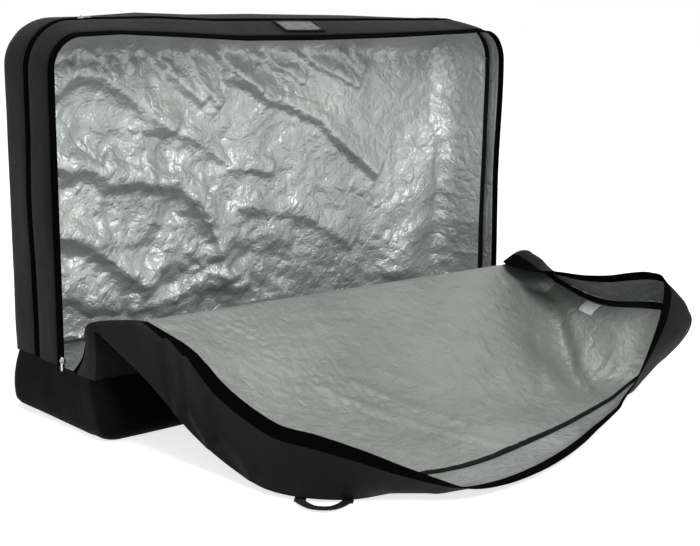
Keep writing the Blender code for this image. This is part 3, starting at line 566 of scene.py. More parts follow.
nylon = woven("nylon", (0.0060, 0.0058, 0.0060), (0.0115, 0.0110, 0.0115), 0.60, 0.0008, 0.07,
              0.012)
# A darker, duller copy of the nylon for the base: its darker colour is painted shade.
base_nylon = woven("base_nylon", (0.0022, 0.0022, 0.0023), (0.0042, 0.0041, 0.0042), 0.66,
                   0.0009, 0.03, 0.003)
webbing = woven("webbing", (0.005,) * 3, (0.011,) * 3, 0.66, 0.0016, 0.08, 0.02)
binding = woven("binding", (0.003,) * 3, (0.007,) * 3, 0.66, 0.0010, 0.05, 0.01)
silver = foil("silver_lining", (0.40, 0.42, 0.41), (0.54, 0.56, 0.54), 0.40, 0.45, 0.60)
cover_silver = foil("cover_lining", (0.20, 0.215, 0.20), (0.25, 0.27, 0.245), 0.42, 0.22, 0.40)
# A darker copy of the silver lining for the rim's inner face: its darker colour is painted shade.
shaded_rim_silver = foil("shaded_rim_lining", (0.20, 0.215, 0.21), (0.29, 0.31, 0.30), 0.42, 0.30, 0.60)
tape = coil_material()
nickel = nickel_material()
film = film_material()
card = paper_material("card", (0.04, 0.042, 0.04), (0.09, 0.095, 0.09), 0.012)
label = paper_material("label", (0.60, 0.61, 0.60), (0.76, 0.77, 0.76), 0.006)
board = paper_material("board", (0.05,) * 3, (0.08,) * 3, 0.020)


# Smooth curves and noise

def together(*parts):
    """Arrays put side by side, where one number stands for all."""
    return np.stack(np.broadcast_arrays(*parts), axis=-1)


def places_at(x, y=0.0, z=0.0):
    """Points from their coordinates."""
    return together(x, y, z)


def unit(rows):
    """The same directions, each one long."""
    return rows / np.linalg.norm(rows, axis=-1, keepdims=True)


def run_along(line):
    """How far along a line of points each of them is."""
    return np.concatenate([[0.0], np.cumsum(np.linalg.norm(np.diff(line, axis=0), axis=1))])


def curve_shares(knots, at):
    """How much each knot counts at each place on a smooth curve through all of them."""
    knots = np.asarray(knots, float)
    last = len(knots) - 1
    i = np.clip(np.searchsorted(knots, at, side="right") - 1, 0, last - 1)
    before = np.maximum(np.arange(last + 1) - 1, 0)
    after = np.minimum(np.arange(last + 1) + 1, last)
    own = np.eye(last + 1)
    slopes = (own[after] - own[before]) / (knots[after] - knots[before])[:, None]
    width = (knots[i + 1] - knots[i])[:, None]
    s = (np.asarray(at, float) - knots[i])[:, None] / width
    return (own[i] * (2 * s ** 3 - 3 * s ** 2 + 1)
            + slopes[i] * width * (s ** 3 - 2 * s ** 2 + s)
            + own[i + 1] * (3 * s ** 2 - 2 * s ** 3)
            + slopes[i + 1] * width * (s ** 3 - s ** 2))


def smooth_curve(knots, values, at):
    """A smooth curve through rows of values at their knots, read at many places at once."""
    return np.tensordot(curve_shares(knots, at), np.asarray(values, float), 1)


def ease(value, low, high):
    """0 below low, 1 above high and a smooth step between."""
    share = np.clip((np.asarray(value, float) - low) / (high - low), 0.0, 1.0)
    return share * share * (3 - 2 * share)


def value_noise(places, seed):
    """Smooth noise from 0 to 1 at many places, the same on every run."""
    cell = np.floor(places)
    part = places - cell
    part = part * part * (3 - 2 * part)
    total = 0.0
    for corner in product((0, 1), repeat=3):
        spot = cell + corner
        mixed = spot[..., 0] * 127.1 + spot[..., 1] * 311.7 + spot[..., 2] * 74.7 + seed * 19.3
        wave = np.sin(mixed) * 43758.5453
        weight = np.prod(np.where(np.array(corner) == 1, part, 1 - part), axis=-1)
        total = total + (wave - np.floor(wave)) * weight
    return total


def waves(places, size, seed):
    """Soft noise of both signs."""
    return 2 * value_noise(np.asarray(places) / size, seed) - 1


def creases(places, size, seed):
    """Sharp crests between soft hollows, as pressed foil takes, in three sizes."""
    total = 0.0
    share = 1.0
    for step in range(3):
        total = total + share * (0.5 - np.abs(waves(places, size, seed + step)))
        size = size / 2.1
        share = share / 2.2
    return total


def crumple(across, along, size, seed, count=9):
    """Straight creases in many directions between flat facets, each fading along its way."""
    flat = places_at(across, along)
    bend = waves(flat, size * 3, seed + 50) * size * 0.35
    total = 0.0
    for number in range(count):
        turn = (seed * 0.37 + number * 2.399963) % math.pi
        pitch = size * (0.7 + 0.9 * ((number * 0.618034 + seed * 0.13) % 1.0))
        line = (across * math.cos(turn) + along * math.sin(turn) + bend) / pitch + number * 0.71
        zigzag = 2 * np.abs(line - np.round(line)) - 0.5
        here = ease(waves(flat, size * 2.6, seed + number), -0.05, 0.45)
        total = total + zigzag * here * pitch
    return total


def ridge(across, along, line, above, below, height):
    """One soft fold along a line of points: a long rise on one side, a steep drop on the other."""
    best = np.full(np.shape(across), 1e9)
    side = np.zeros_like(best)
    end = np.zeros_like(best)
    for (x, y), (next_x, next_y) in zip(line, line[1:]):
        run_x, run_y = next_x - x, next_y - y
        length = math.hypot(run_x, run_y)
        ahead = ((across - x) * run_x + (along - y) * run_y) / length
        held = np.clip(ahead, 0, length)
        far = np.hypot(across - x - held * run_x / length, along - y - held * run_y / length)
        aside = ((along - y) * run_x - (across - x) * run_y) / length
        closer = far < best
        best = np.where(closer, far, best)
        side = np.where(closer, aside, side)
        end = np.where(closer, np.abs(ahead - held), end)
    width = np.where(side > 0, above, below)
    return height * np.exp(-(best / width) ** 2) * np.exp(-(end / (0.7 * below)) ** 2)


def folds(across, along, table):
    """The summed heights of the single folds in a table."""
    total = 0.0
    for fold in table:
        total = total + ridge(across, along, *fold)
    return total


# Meshes from grids of points

def normals_of(points, wrap=False):
    """Unit normals of a grid: columns crossed with rows."""
    if wrap:
        ring = np.concatenate([points[:, -1:], points, points[:, :1]], axis=1)
        across = (ring[:, 2:] - ring[:, :-2]) / 2
    else:
        across = np.gradient(points, axis=1)
    normal = np.cross(across, np.gradient(points, axis=0))
    return normal / np.maximum(np.linalg.norm(normal, axis=2, keepdims=True), 1e-12)


def quads(index):
    """The corners of each cell of a grid of numbers."""
    return np.stack([index[:-1, :-1], index[:-1, 1:], index[1:, 1:], index[1:, :-1]],
                    axis=2).reshape(-1, 4)


def cloth_map(points, wrap):
    """The cloth's own flat map, in metres: run along the columns and across the rows."""
    ring = np.concatenate([points, points[:, :1]], axis=1) if wrap else points
    steps = np.linalg.norm(np.diff(ring, axis=1), axis=2).mean(axis=0)
    rises = np.linalg.norm(np.diff(points, axis=0), axis=2).mean(axis=1)
    run, rise = (np.concatenate([[0.0], np.cumsum(part)]) for part in (steps, rises))
    return np.stack(np.broadcast_arrays(run[None, :], rise[:, None]), axis=2)


def add_object(name, data):
    thing = bpy.data.objects.new(name, data)
    bpy.context.scene.collection.objects.link(thing)
    return thing


def cloth(name, points, thickness, front, back, wrap=False, edge=None):
    """A sheet of cloth through a grid; front faces the side that columns cross rows point to."""
    normals = normals_of(points, wrap)
    count = points.shape[0] * points.shape[1]
    index = np.arange(count).reshape(points.shape[:2])
    where = cloth_map(points, wrap)
    if wrap:
        index = np.concatenate([index, index[:, :1]], axis=1)
    spots = np.arange(where.shape[0] * where.shape[1]).reshape(where.shape[:2])
    faces = [quads(index), quads(index)[:, ::-1] + count]
    marks = [quads(spots), quads(spots)[:, ::-1]]
    kinds = [np.zeros(len(faces[0]), int), np.ones(len(faces[0]), int)]
    borders = [(index[0], spots[0], True), (index[-1], spots[-1], False)]
    if not wrap:
        borders += [(index[:, 0], spots[:, 0], False), (index[:, -1], spots[:, -1], True)]
    for line, mark, turned in borders:
        rim = np.stack([line[:-1], line[1:], line[1:] + count, line[:-1] + count], axis=1)
        note = np.stack([mark[:-1], mark[1:], mark[1:], mark[:-1]], axis=1)
        faces.append(rim[:, ::-1] if turned else rim)
        marks.append(note[:, ::-1] if turned else note)
        kinds.append(np.full(len(rim), 2 if edge else 1))
    mesh = bpy.data.meshes.new(name)
    sides = [points + normals * thickness / 2, points - normals * thickness / 2]
    mesh.from_pydata(np.concatenate(sides).reshape(-1, 3).tolist(), [],
                     np.concatenate(faces).tolist())
    chart = mesh.uv_layers.new(name="cloth")
    flat = where.reshape(-1, 2)[np.concatenate(marks).reshape(-1)]
    chart.data.foreach_set("uv", flat.astype(np.float32).ravel())
    for material in (front, back, edge):
        if material:
            mesh.materials.append(material)
    mesh.polygons.foreach_set("material_index", np.concatenate(kinds).astype(np.int32))
    mesh.shade_smooth()
    mesh.set_sharp_from_angle(angle=math.radians(62))
    return add_object(name, mesh)


def dress(piece, slot, nodes, bodies, limits=None):
    """Hides the solids a piece stands for and hangs the piece on its body; a piece given limits is
    only baked in place, its bodies and limits then not used. The slot is not used.
    """
    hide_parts(*nodes)
    if limits:
        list(bodies)
        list(limits)
        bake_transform(piece)
    else:
        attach(piece, bodies)


# The shell: an arch of cloth strips round a crumpled lining

def corner_size(side, lean):
    """How wide and how tall the arch's corner is, tighter towards the opening."""
    left = np.asarray(side) < 0
    wide = top_corner_radius - np.where(left, corner_pull, right_corner_pull) * lean
    tall = top_corner_radius - np.where(left, corner_pull, right_corner_drop) * lean
    return wide, tall


def arch_line(lean):
    """Points and outward directions of the arch, at a lean from rear to opening."""
    half_x = half_length - opening_side_inset * lean
    top = bag_height - opening_top_drop * lean
    turn = np.linspace(0, math.pi / 2, corner_steps)
    halves = []
    for side in (-1, 1):
        wide, tall = corner_size(side, lean)
        rise = np.linspace(shell_foot, top - tall, side_steps)[:-1]
        slope = np.hypot(tall * np.cos(turn), wide * np.sin(turn))
        bend = together(half_x - wide + wide * np.cos(turn), top - tall + tall * np.sin(turn),
                        tall * np.cos(turn) / slope, wide * np.sin(turn) / slope)
        wall = together(half_x, rise, 1.0, 0.0)
        halves.append(np.concatenate([wall, bend]) * (side, 1, side, 1))
    span = np.linspace(halves[0][-1, 0], halves[1][-1, 0], top_steps)[1:-1]
    line = np.concatenate([halves[0], together(span, top, 0.0, 1.0), halves[1][::-1]])
    return line[:, :2], line[:, 2:]


def shell_softness(points):
    """How the standing cloth gives: its top edges rise and sag and its sides bow a little."""
    x, y, z = np.moveaxis(points, -1, 0)
    blend = (np.clip((mid_y - y) / (mid_y - opening_y), -1, 1) + 1) / 2
    at = (x + half_length) / bag_length
    rise = (np.interp(at, rear_rise_shares, rear_rises) * (1 - blend)
            + np.interp(at, front_rise_shares, front_rises) * blend)
    high = ease(z, bag_height - give_below_top, bag_height - full_give_below_top)
    side = 1 - ease(half_length - np.abs(x), 0.0, side_give_reach)
    loose = side * ease(y - opening_y, stiff_edge_width, loose_edge_width)
    wave = waves(places_at(y * 2, z, 3.1), side_wave_size, 4) * side_wave_height
    bow = side_bow * np.sin(np.clip((z - base_height) / (bag_height - base_height), 0, 1) * math.pi)
    moved = points.copy()
    moved[..., 2] += high * rise
    moved[..., 0] += np.sign(x) * loose * (wave * ease(z, base_height, side_wave_top) + bow)
    moved[..., 0] += np.where(x > 0, right_bulge, 0.0) * side * ease(z, *right_bulge_rise)
    moved[..., 1] += high * waves(places_at(x, 0.0, 1.7), top_wave_size, 7) * top_wave_height
    return moved


def shell_strip(stops):
    """A strip of the shell: each stop is a y and an offset outward; rows run round the arch."""
    rows = []
    for y, offset in stops:
        points, out = arch_line(max(0.0, (mid_y - y) / (mid_y - opening_y)))
        reach = points + out * offset
        rows.append(places_at(reach[:, 0], y, reach[:, 1]))
    return shell_softness(np.stack(rows))


def puffed(low_y, high_y, steps):
    """Stops across a strip that stands proud between its two seams."""
    share = np.linspace(0, 1, steps)
    lift = skin_puff * (1 - (2 * share - 1) ** 4)
    return list(zip(low_y + (high_y - low_y) * share, lift - skin_thickness / 2))


def pucker(points, depth, pitch, seed):
    """Small gathers beside a strip's seams, fading towards its middle."""
    row = np.arange(len(points))[:, None]
    near = np.minimum(row, len(points) - 1 - row)
    fade = np.exp(-near / gather_rows) * (near > 0)
    line = places_at(run_along(points[0]) + row * pitch * gather_slant_share)
    gather = waves(line, pitch, seed) * ease(waves(line, pitch * 9, seed + 5), -0.3, 0.5)
    return points + normals_of(points) * (gather * fade * depth)[..., None]


def make_shell_strips():
    low = opening_y + main_tape_width + seam_gap
    high = mid_y - expansion_tape_width / 2 - seam_gap
    tucked = -skin_thickness / 2 - tape_thickness * 2 - seam_gap
    hem = [(low - hem_reach, tucked), (low - seam_gap * 4, tucked)]
    front = shell_strip(hem + puffed(low, high, 19))
    stops = puffed(mid_y + expansion_tape_width / 2 + seam_gap, rear_y - rear_edge_radius, 15)
    for angle in np.linspace(0, math.pi / 2, 6)[1:]:
        stops.append((rear_y - rear_edge_radius * (1 - math.sin(angle)),
                      -skin_thickness / 2 - rear_edge_radius * (1 - math.cos(angle))))
    for name, grid, width, nodes in (
            ("shell_front_strip", pucker(front, gather_depth, gather_pitch, 11), high - opening_y,
             ("front_gusset_left", "front_gusset_top", "front_gusset_right",
              "gusset_lining_front")),
            ("shell_rear_strip", pucker(shell_strip(stops), rear_gather_depth,
                                        rear_gather_pitch, 12), rear_strip_width,
             ("rear_gusset_left", "rear_gusset_top", "rear_gusset_right"))):
        piece = cloth(name, grid, skin_thickness, nylon, silver, edge=nylon)
        dress(piece, "nylon", nodes, "bag")


def zip_stops(low_y, width, coil_low):
    """Stops across a zip's tape, with its coil standing proud."""
    stops = [(low_y, -tape_thickness)]
    for share, lift in coil_profile_shares:
        y = coil_low + coil_width * share
        if low_y < y < low_y + width:
            stops.append((y, (coil_height - coil_sink) * lift - tape_thickness))
    return stops + [(low_y + width, -tape_thickness)]


def make_shell_zips():
    middle = zip_stops(mid_y - expansion_tape_width / 2, expansion_tape_width,
                       mid_y - coil_width / 2)
    opening = zip_stops(opening_y, main_tape_width, opening_y + seam_gap)
    depth = -skin_thickness - binding_depth
    back_y = mid_y - lining_lap
    inner = [(back_y - binding_width, depth), (back_y - binding_width / 2, depth - binding_crown),
             (back_y, depth)]
    for name, stops, thickness, material, node, slot in (
            ("expansion_zip_tape", middle, tape_thickness, tape, "expansion_zip", "zip_tape"),
            ("main_zip_tape", opening, tape_thickness, tape, "main_zip_shell", "zip_tape"),
            ("mid_seam_tape", inner, binding_thickness, binding, "mid_seam_binding", "binding")):
        piece = cloth(name, shell_strip(stops), thickness, material, material)
        dress(piece, slot, (node,), "bag")


# The lining: one sheet from seam to seam, loose enough to crumple

def lining_grid():
    """The lining hung tight: a shallow tub sewn under the inner binding."""
    seam_y = mid_y - lining_lap - binding_width / 2
    lean = (mid_y - seam_y) / (mid_y - opening_y)
    half_x = half_length - opening_side_inset * lean - lining_depth
    top = bag_height - opening_top_drop * lean - lining_depth
    low = shell_foot + lining_foot_gap
    u = np.linspace(-1, 1, lining_columns)[None, :]
    z = low + (top - low) * np.linspace(0, 1, lining_rows)[:, None]
    wide, tall = corner_size(u, lean)
    climb = np.clip((z - top) / tall + 1, 0, 1)
    reach = half_x - wide * (1 - np.sqrt(1 - climb ** 2))
    reach = np.maximum(reach, half_x - wide * 0.75)
    x = u * reach
    near = np.minimum(np.minimum(reach - np.abs(x), top - z), lining_turn)
    deep = np.sqrt(np.maximum(1 - (1 - near / lining_turn) ** 2, 0.0))
    return shell_softness(places_at(x, seam_y + (rear_y - lining_back_gap - seam_y) * deep, z))


def within_shell(points, room):
    """The same points, kept inside the shell's soft skin."""
    x, y, z = np.moveaxis(points, -1, 0)
    lean = np.clip((mid_y - y) / (mid_y - opening_y), 0, 1)
    half_x = half_length - opening_side_inset * lean
    wide, tall = corner_size(x, lean)
    wall = shell_softness(places_at(np.where(x < 0, -half_x, half_x), y, z))
    reach = np.abs(wall[..., 0]) - room
    beyond = np.clip((np.abs(x) - half_x) / wide + 1, 0, 1)
    top = bag_height - opening_top_drop * lean - tall * (1 - np.sqrt(1 - beyond ** 2))
    ceiling = shell_softness(places_at(x, y, top))[..., 2] - room
    return places_at(np.clip(x, -reach, reach), np.minimum(y, rear_y - lining_back_room),
                     np.minimum(z, ceiling))


def refined(points, times):
    """The same sheet with more rows and columns."""
    for axis in (0, 1):
        count = points.shape[axis]
        at = np.linspace(0, count - 1, (count - 1) * times + 1)
        points = smooth_curve(np.arange(count), np.moveaxis(points, axis, 0), at)
        points = np.moveaxis(points, 0, axis)
    return points


def settle(points, held):
    """Lets a sheet with spare cloth crumple under its own weight, held where asked."""
    rows, cols = points.shape[:2]
    mesh = bpy.data.meshes.new("hung_sheet")
    mesh.from_pydata(points.reshape(-1, 3).tolist(), [],
                     quads(np.arange(rows * cols).reshape(rows, cols)).tolist())
    piece = add_object("hung_sheet", mesh)
    group = piece.vertex_groups.new(name="held")
    for number in np.flatnonzero(held.ravel()):
        group.add([int(number)], 1.0, "REPLACE")
    modifier = piece.modifiers.new("cloth", "CLOTH")
    for key, value in cloth_behaviour.items():
        setattr(modifier.settings, key, value)
    modifier.settings.vertex_group_mass = "held"
    modifier.settings.shrink_min = -lining_slack
    modifier.collision_settings.use_collision = False
    modifier.point_cache.frame_start = 1
    modifier.point_cache.frame_end = settle_steps
    scene = bpy.context.scene
    for step in range(1, settle_steps + 1):
        scene.frame_set(step)
    graph = bpy.context.evaluated_depsgraph_get()
    settled = piece.evaluated_get(graph).to_mesh()
    found = np.zeros(rows * cols * 3, np.float32)
    settled.vertices.foreach_get("co", found)
    piece.evaluated_get(graph).to_mesh_clear()
    bpy.data.objects.remove(piece, do_unlink=True)
    scene.frame_set(1)
    return found.reshape(rows, cols, 3).astype(float)


def edge_distance(points):
    """How many cells each point of a grid is from the grid's nearest edge."""
    down, aside = (np.minimum(np.arange(count), count - 1 - np.arange(count))
                   for count in points.shape[:2])
    return np.minimum(down[:, None], aside[None, :])


def make_lining():
    grid = lining_grid()
    near = edge_distance(grid)
    swags = folds(grid[..., 0] + half_length, grid[..., 2], lining_folds)
    grid = grid + normals_of(grid) * (swags * ease(near, 0, lining_edge_cells))[..., None]
    move = settle(grid, near == 0) - grid
    far = np.linalg.norm(move, axis=-1, keepdims=True)
    grid = grid + move * np.minimum(1.0, lining_move_limit / np.maximum(far, 1e-9))
    grid = refined(grid, lining_fine)
    x, z = grid[..., 0], grid[..., 2]
    high = ease(z, *lining_top_band)
    slant = (x * 0.62 + z * 0.78, (z * 0.62 - x * 0.78) * 2.2)
    wide = crumple(x, z, lining_wide_crease, 21) * (1 - 0.5 * high)
    fine = crumple(x, z, lining_fine_crease, 31, 12) * (1 - 0.6 * high)
    slanted = crumple(*slant, lining_slant_crease, 41, 6) * high
    relief = (wide + fine) * lining_crease_share + slanted * lining_slant_crease_share
    calm = 1 - lining_calm_share * ease(x, *lining_calm_band)
    fade = calm * ease(edge_distance(grid), 0, lining_border_cells)
    grid = grid + normals_of(grid) * (relief * fade)[..., None]
    grid = within_shell(grid, lining_room)
    piece = cloth("back_lining", grid, lining_thickness, silver, silver)
    dress(piece, "silver", ("rear_lining", "gusset_lining_rear"), "bag")


def make_rear_panel():
    """The padded back: a pillowed panel with a corded edge."""
    radius = top_corner_radius - panel_corner_inset
    top = bag_height - panel_top_inset
    z = shell_foot + (top - shell_foot) * np.linspace(0, 1, 60)[:, None]
    drop = np.clip(z - (top - radius), 0, radius)
    reach = half_length - panel_side_inset - radius + np.sqrt(radius ** 2 - drop ** 2)
    reach = np.maximum(reach, half_length - radius * 0.9)
    x = np.linspace(1, -1, 90)[None, :] * reach
    beside, above, below = (np.clip(gap / panel_swell_reach, 0, 1)
                            for gap in (half_length - np.abs(x), top - z, z - shell_foot))
    swell = np.sqrt(beside * above * np.maximum(below, 0.02))
    grid = places_at(x, rear_y - panel_back_inset + panel_swell * swell, z)
    grid[..., 2] = shell_softness(grid)[..., 2]
    flat = grid * (1, 0, 1)
    wrinkle = (waves(flat, panel_ripple_size, 41) * panel_ripple_height
               + creases(flat, panel_crease_size, 43) * panel_crease_height)
    grid[..., 1] += wrinkle * swell
    piece = cloth("rear_panel_cloth", grid, panel_thickness, nylon, silver, edge=nylon)
    dress(piece, "nylon", ("rear_panel", "rear_padding"), "bag")


# The base: a stiffened boot with soft corners

def spread_ring(ring, count):
    """The same closed line with evenly spaced points."""
    closed = np.concatenate([ring, ring[:1]])
    run = run_along(closed)
    at = np.linspace(0, run[-1], count + 1)[:-1]
    return np.stack([np.interp(at, run, line) for line in closed.T], axis=1)


def base_ring(inset, z):
    """A rounded rectangle in plan, anticlockwise from above."""
    radius = max(base_corner_radius - inset * 0.4, base_least_radius)
    ring = []
    for corner, (side, depth) in enumerate(((1, 1), (-1, 1), (-1, -1), (1, -1))):
        turn = np.linspace(0, math.pi / 2, 16) + corner * math.pi / 2
        ring.append(places_at(side * (half_length - inset - radius) + radius * np.cos(turn),
                              depth * (rear_y - inset - radius) + radius * np.sin(turn), z))
    return spread_ring(np.concatenate(ring), 360)


def make_base():
    stops = [(inset, base_foot_gap) for inset in (*base_foot_insets, base_foot_radius)]
    for angle in np.linspace(0, math.pi / 2, 7)[1:]:
        stops.append((base_foot_radius * (1 - math.sin(angle)),
                      base_foot_gap + base_foot_radius * (1 - math.cos(angle))))
    for z in np.linspace(base_foot_radius, base_height, 13)[1:]:
        stops.append((0.0, z))
    grid = np.stack([base_ring(inset, z) for inset, z in stops])
    x, y, z = np.moveaxis(grid, -1, 0)
    height = z / base_height
    low = np.clip(1 - height, 0, 1)
    rear_left = (1 - ease(-y, -rear_y, base_rear_band)) * (1 - ease(x, *base_left_band))
    swell = (np.sin(np.clip(height, 0, 1) * math.pi) * base_bulge
             + waves(grid, base_ripple_size, 51) * base_ripple_height * ease(height, 0.1, 0.5)
             + waves(grid * (1, 1, 0.5), base_fine_ripple_size, 52)
             * base_fine_ripple_height * ease(height, 0.1, 0.4)
             + np.sin(low ** 0.8 * math.pi / 2) * ease(height, 0.0, 0.10)
             * rear_left_bulge * rear_left)
    pushed = np.sin(low * math.pi / 2) * np.clip(rear_y - y, 0, base_depth) / base_depth
    pushed = pushed * (1 - ease(x, -half_length, base_drift_end))
    grid = grid + normals_of(grid, wrap=True) * (1, 1, 0) * swell[..., None]
    grid[..., 1] -= front_left_drift * pushed
    # The boot wears the darker copy of the nylon, so painted shade lies on the base.
    piece = cloth("base_boot", grid, base_wall, base_nylon, silver, True, base_nylon)
    dress(piece, "base_nylon", ("base_bottom", "base_front", "base_rear", "base_end_left",
                                "base_end_right", "base_lining"), "bag")


# The front cover

def cover_point(across, along):
    """Underside of the cover's cloth at places across and along it, in metres of cloth."""
    across, along = np.broadcast_arrays(across, along)
    found = np.einsum("pa,pb,bad->pd", curve_shares(across_shares, across.ravel() / bag_length),
                      curve_shares(along_shares, along.ravel() / cover_reach),
                      np.array(cover_place_shares))
    place = found * (bag_length, -cover_reach, crest_height) + (-half_length, front_y, 0)
    return place.reshape(*across.shape, 3)


def panel_grid(alongs):
    """Places across and along the cover's panel, its ends drawn in at the corners."""
    past = np.clip(alongs[:, None] - side_run, 0.0, cover_corner_radius)
    inset = cover_corner_radius - np.sqrt(cover_corner_radius ** 2 - past ** 2)
    across = inset + (bag_length - 2 * inset) * np.linspace(0, 1, panel_columns)[::-1]
    return np.broadcast_arrays(across, alongs[:, None])


def panel_relief(across, along):
    """The panel's folds and ripples, as heights over its smooth shape."""
    places = places_at(across, along)
    beside = across - streak_start - along * streak_slope_share
    streaks = np.exp(-(beside / streak_width) ** 2) * streak_height_share
    relief = (folds(across, along, cover_folds)
              + waves(places * (1, 1.6, 1), cover_ripple_size, 61) * cover_ripple_height
              + waves(places * (1.6, 1, 1), cover_fine_ripple_size, 62)
              * cover_fine_ripple_height
              + crumple(across, along, cover_crease_size, 64, 7) * cover_crease_share
              + crumple(across * 1.6, along, streak_size, 66, 7) * streaks)
    edge = np.minimum(np.minimum(across, bag_length - across), cover_reach - along)
    return relief * ease(edge, 0.0, relief_margin) * ease(along, 0.0, relief_margin)


def lifted_panel(alongs):
    """The cover's cloth between two places along it, its folds kept clear of the floor."""
    across, along = panel_grid(alongs)
    grid = cover_point(across, along)
    lift = panel_relief(across, along) + cover_thickness / 2
    grid = grid + normals_of(grid) * lift[..., None]
    grid[..., 2] = np.maximum(grid[..., 2], cover_thickness / 2 + floor_gap)
    return grid


def riser_rows():
    """The cover's standing foot, from the base's front edge up to the crest."""
    x = np.linspace(-half_length, half_length, panel_columns)
    z = np.linspace(base_height, crest_height - riser_top_drop, 12)[:, None]
    bow = np.sin((z - base_height) / (crest_height - base_height) * math.pi)
    ripple = waves(places_at(x, z * 1.5), riser_ripple_size, 71) * riser_ripple_height
    return places_at(x, front_y + cover_thickness / 2 + (ripple - riser_bow) * bow, z)


def make_cover_panels():
    crest = lifted_panel(np.linspace(crest_lap, panel_split, 34))
    turn = np.linspace(0, math.pi / 2, 30)[1:]
    lower = lifted_panel(np.concatenate([np.linspace(panel_split, side_run, 60),
                                         side_run + cover_corner_radius * np.sin(turn)]))
    for name, grid, nodes, bodies, limits, height, held, under in (
            ("cover_upper", np.concatenate([riser_rows()[:, ::-1], crest]),
             ("cover_slope", "cover_riser"), ("bag", "cover_slope"), crest_bend,
             crest_height - base_height + panel_split, "folded", "base_boot"),
            ("cover_lower", lower, ("cover_apron",), ("cover_slope", "cover_apron"),
             middle_bend, cover_reach - panel_split, "laid", "floor")):
        piece = cloth(name, grid, cover_thickness, cover_silver, nylon)
        dress(piece, "silver", nodes, bodies, limits)


def edge_spot(run, inset=0.0):
    """Across and along of places on the cover's outline, runs from the crest's left end."""
    radius = cover_corner_radius
    lap = np.minimum(run, edge_run - run)
    turn = np.clip((lap - side_run) / radius, 0, math.pi / 2)
    on_side = lap <= side_run
    on_front = lap >= side_run + corner_run
    across = np.where(on_side, inset, radius - (radius - inset) * np.cos(turn))
    along = np.where(on_side, lap, side_run + (radius - inset) * np.sin(turn))
    across = np.where(on_front, radius + lap - side_run - corner_run, across)
    along = np.where(on_front, cover_reach - inset, along)
    return np.where(run > edge_run / 2, bag_length - across, across), along


def rim_frames(runs):
    """Foot, direction and outward normal of the cover's rim at runs round its edge."""
    knots, leans = zip(*rim_lean_shares)
    share = np.clip(runs / edge_run, knots[0], knots[-1])
    direction = unit(smooth_curve(knots, leans, share) * (1, -1, 1))
    ahead = cover_point(*edge_spot(np.minimum(runs + edge_step, edge_run)))
    behind = cover_point(*edge_spot(np.maximum(runs - edge_step, 0.0)))
    foot = cover_point(*edge_spot(runs)) + (0, 0, cover_thickness)
    return foot, direction, unit(np.cross(ahead - behind, direction))


def by_loop(runs):
    """1 where the webbing loop pulls the rim's cloth flat, fading to 0 beside it."""
    return np.exp(-((runs - loop_run) / loop_run_reach) ** 2)


def rim_bow(runs):
    """How far the rim's cloth bows out between its foot and its zip."""
    left = 1 - ease(runs, *left_crest_fade)
    right = 1 - ease(edge_run - runs, *right_crest_fade)
    return rim_bow_height + np.where(
        runs < edge_run / 2,
        (left_crest_bow - rim_bow_height) * left - loop_flattening * by_loop(runs),
        (right_crest_bow - rim_bow_height) * right)


def rim_rows(runs, reaches):
    """Rows of points at reaches out from the foot, bowed outward between foot and zip."""
    foot, direction, normal = rim_frames(runs)
    lap = np.minimum(runs, edge_run - runs)
    whole = rim_width + rim_tape_width * (1 - ease(lap, *rim_tape_fade))
    rows = []
    for reach in reaches:
        swell = np.sin(np.clip(reach / whole, 0.0, 1.0) * math.pi)
        places = places_at(runs + reach * 0.5, reach * 0.8)
        ripple = (waves(places, rim_ripple_size, 81) * rim_ripple_height
                  + waves(places * (1.4, 1, 1), rim_fine_ripple_size, 82)
                  * rim_fine_ripple_height)
        bow = rim_bow(runs) + ripple * (1 - 0.9 * by_loop(runs))
        out = bow * swell + folds(runs, reach, rim_folds)
        rows.append(foot + direction * reach + normal * out[:, None])
    return np.stack(rows)


def arch_rows(side, reaches):
    """The rim's end: up the riser beside the base and over the crest, to where the rim starts."""
    left = side < 0
    foot_end, direction_end, _ = rim_frames(np.array([rim_start if left
                                                      else edge_run - rim_start]))
    whole = rim_width + rim_tape_width
    edge = riser_rows()[:, 0 if left else -1]
    crest_end = cover_point(0.0 if left else bag_length, riser_top_drop) + (0, 0, floor_gap)
    inward = left_arch_inset if left else right_arch_inset
    back = left_arch_depth if left else riser_depth
    tips = [(side * half_length, front_y + back, base_height),
            (side * half_length, front_y + riser_depth + (back - riser_depth) * 0.25,
             arch_low_height),
            (side * (half_length - 0.1 * inward), front_y + riser_depth * 0.92,
             arch_high_height),
            (side * (half_length - inward), front_y + riser_depth * 0.70,
             crest_height - arch_top_drop),
            foot_end[0] + direction_end[0] * whole]
    at = np.linspace(0, 1, 36)
    foot = smooth_curve(arch_shares, [edge[0], edge[6], edge[-1], crest_end, foot_end[0]], at)
    tip = smooth_curve(arch_shares, tips, at)
    out = unit(places_at(side * (1 - 0.7 * ease(at, 0.3, 1.0)), 0.0, ease(at, 0.3, 0.9)))
    full_bow = left_crest_bow if left else right_crest_bow
    bow = arch_foot_bow + (full_bow - arch_foot_bow) * ease(at, 0.35, 1.0)
    rows = []
    for reach in reaches:
        share = min(reach / whole, 1.0)
        bulge = math.sin(share * math.pi) * bow
        rows.append(foot + (tip - foot) * share + out * bulge[:, None])
    return np.stack(rows)


def whole_rim(side, runs, reaches):
    """A stretch of the rim; at the crest's two ends the gusset's arch is joined to it."""
    rows = rim_rows(runs, reaches)
    if side < 0:
        return np.concatenate([arch_rows(side, reaches)[:, :-1], rows], axis=1)
    if side > 0:
        return np.concatenate([rows, arch_rows(side, reaches)[:, -2::-1]], axis=1)
    return rows


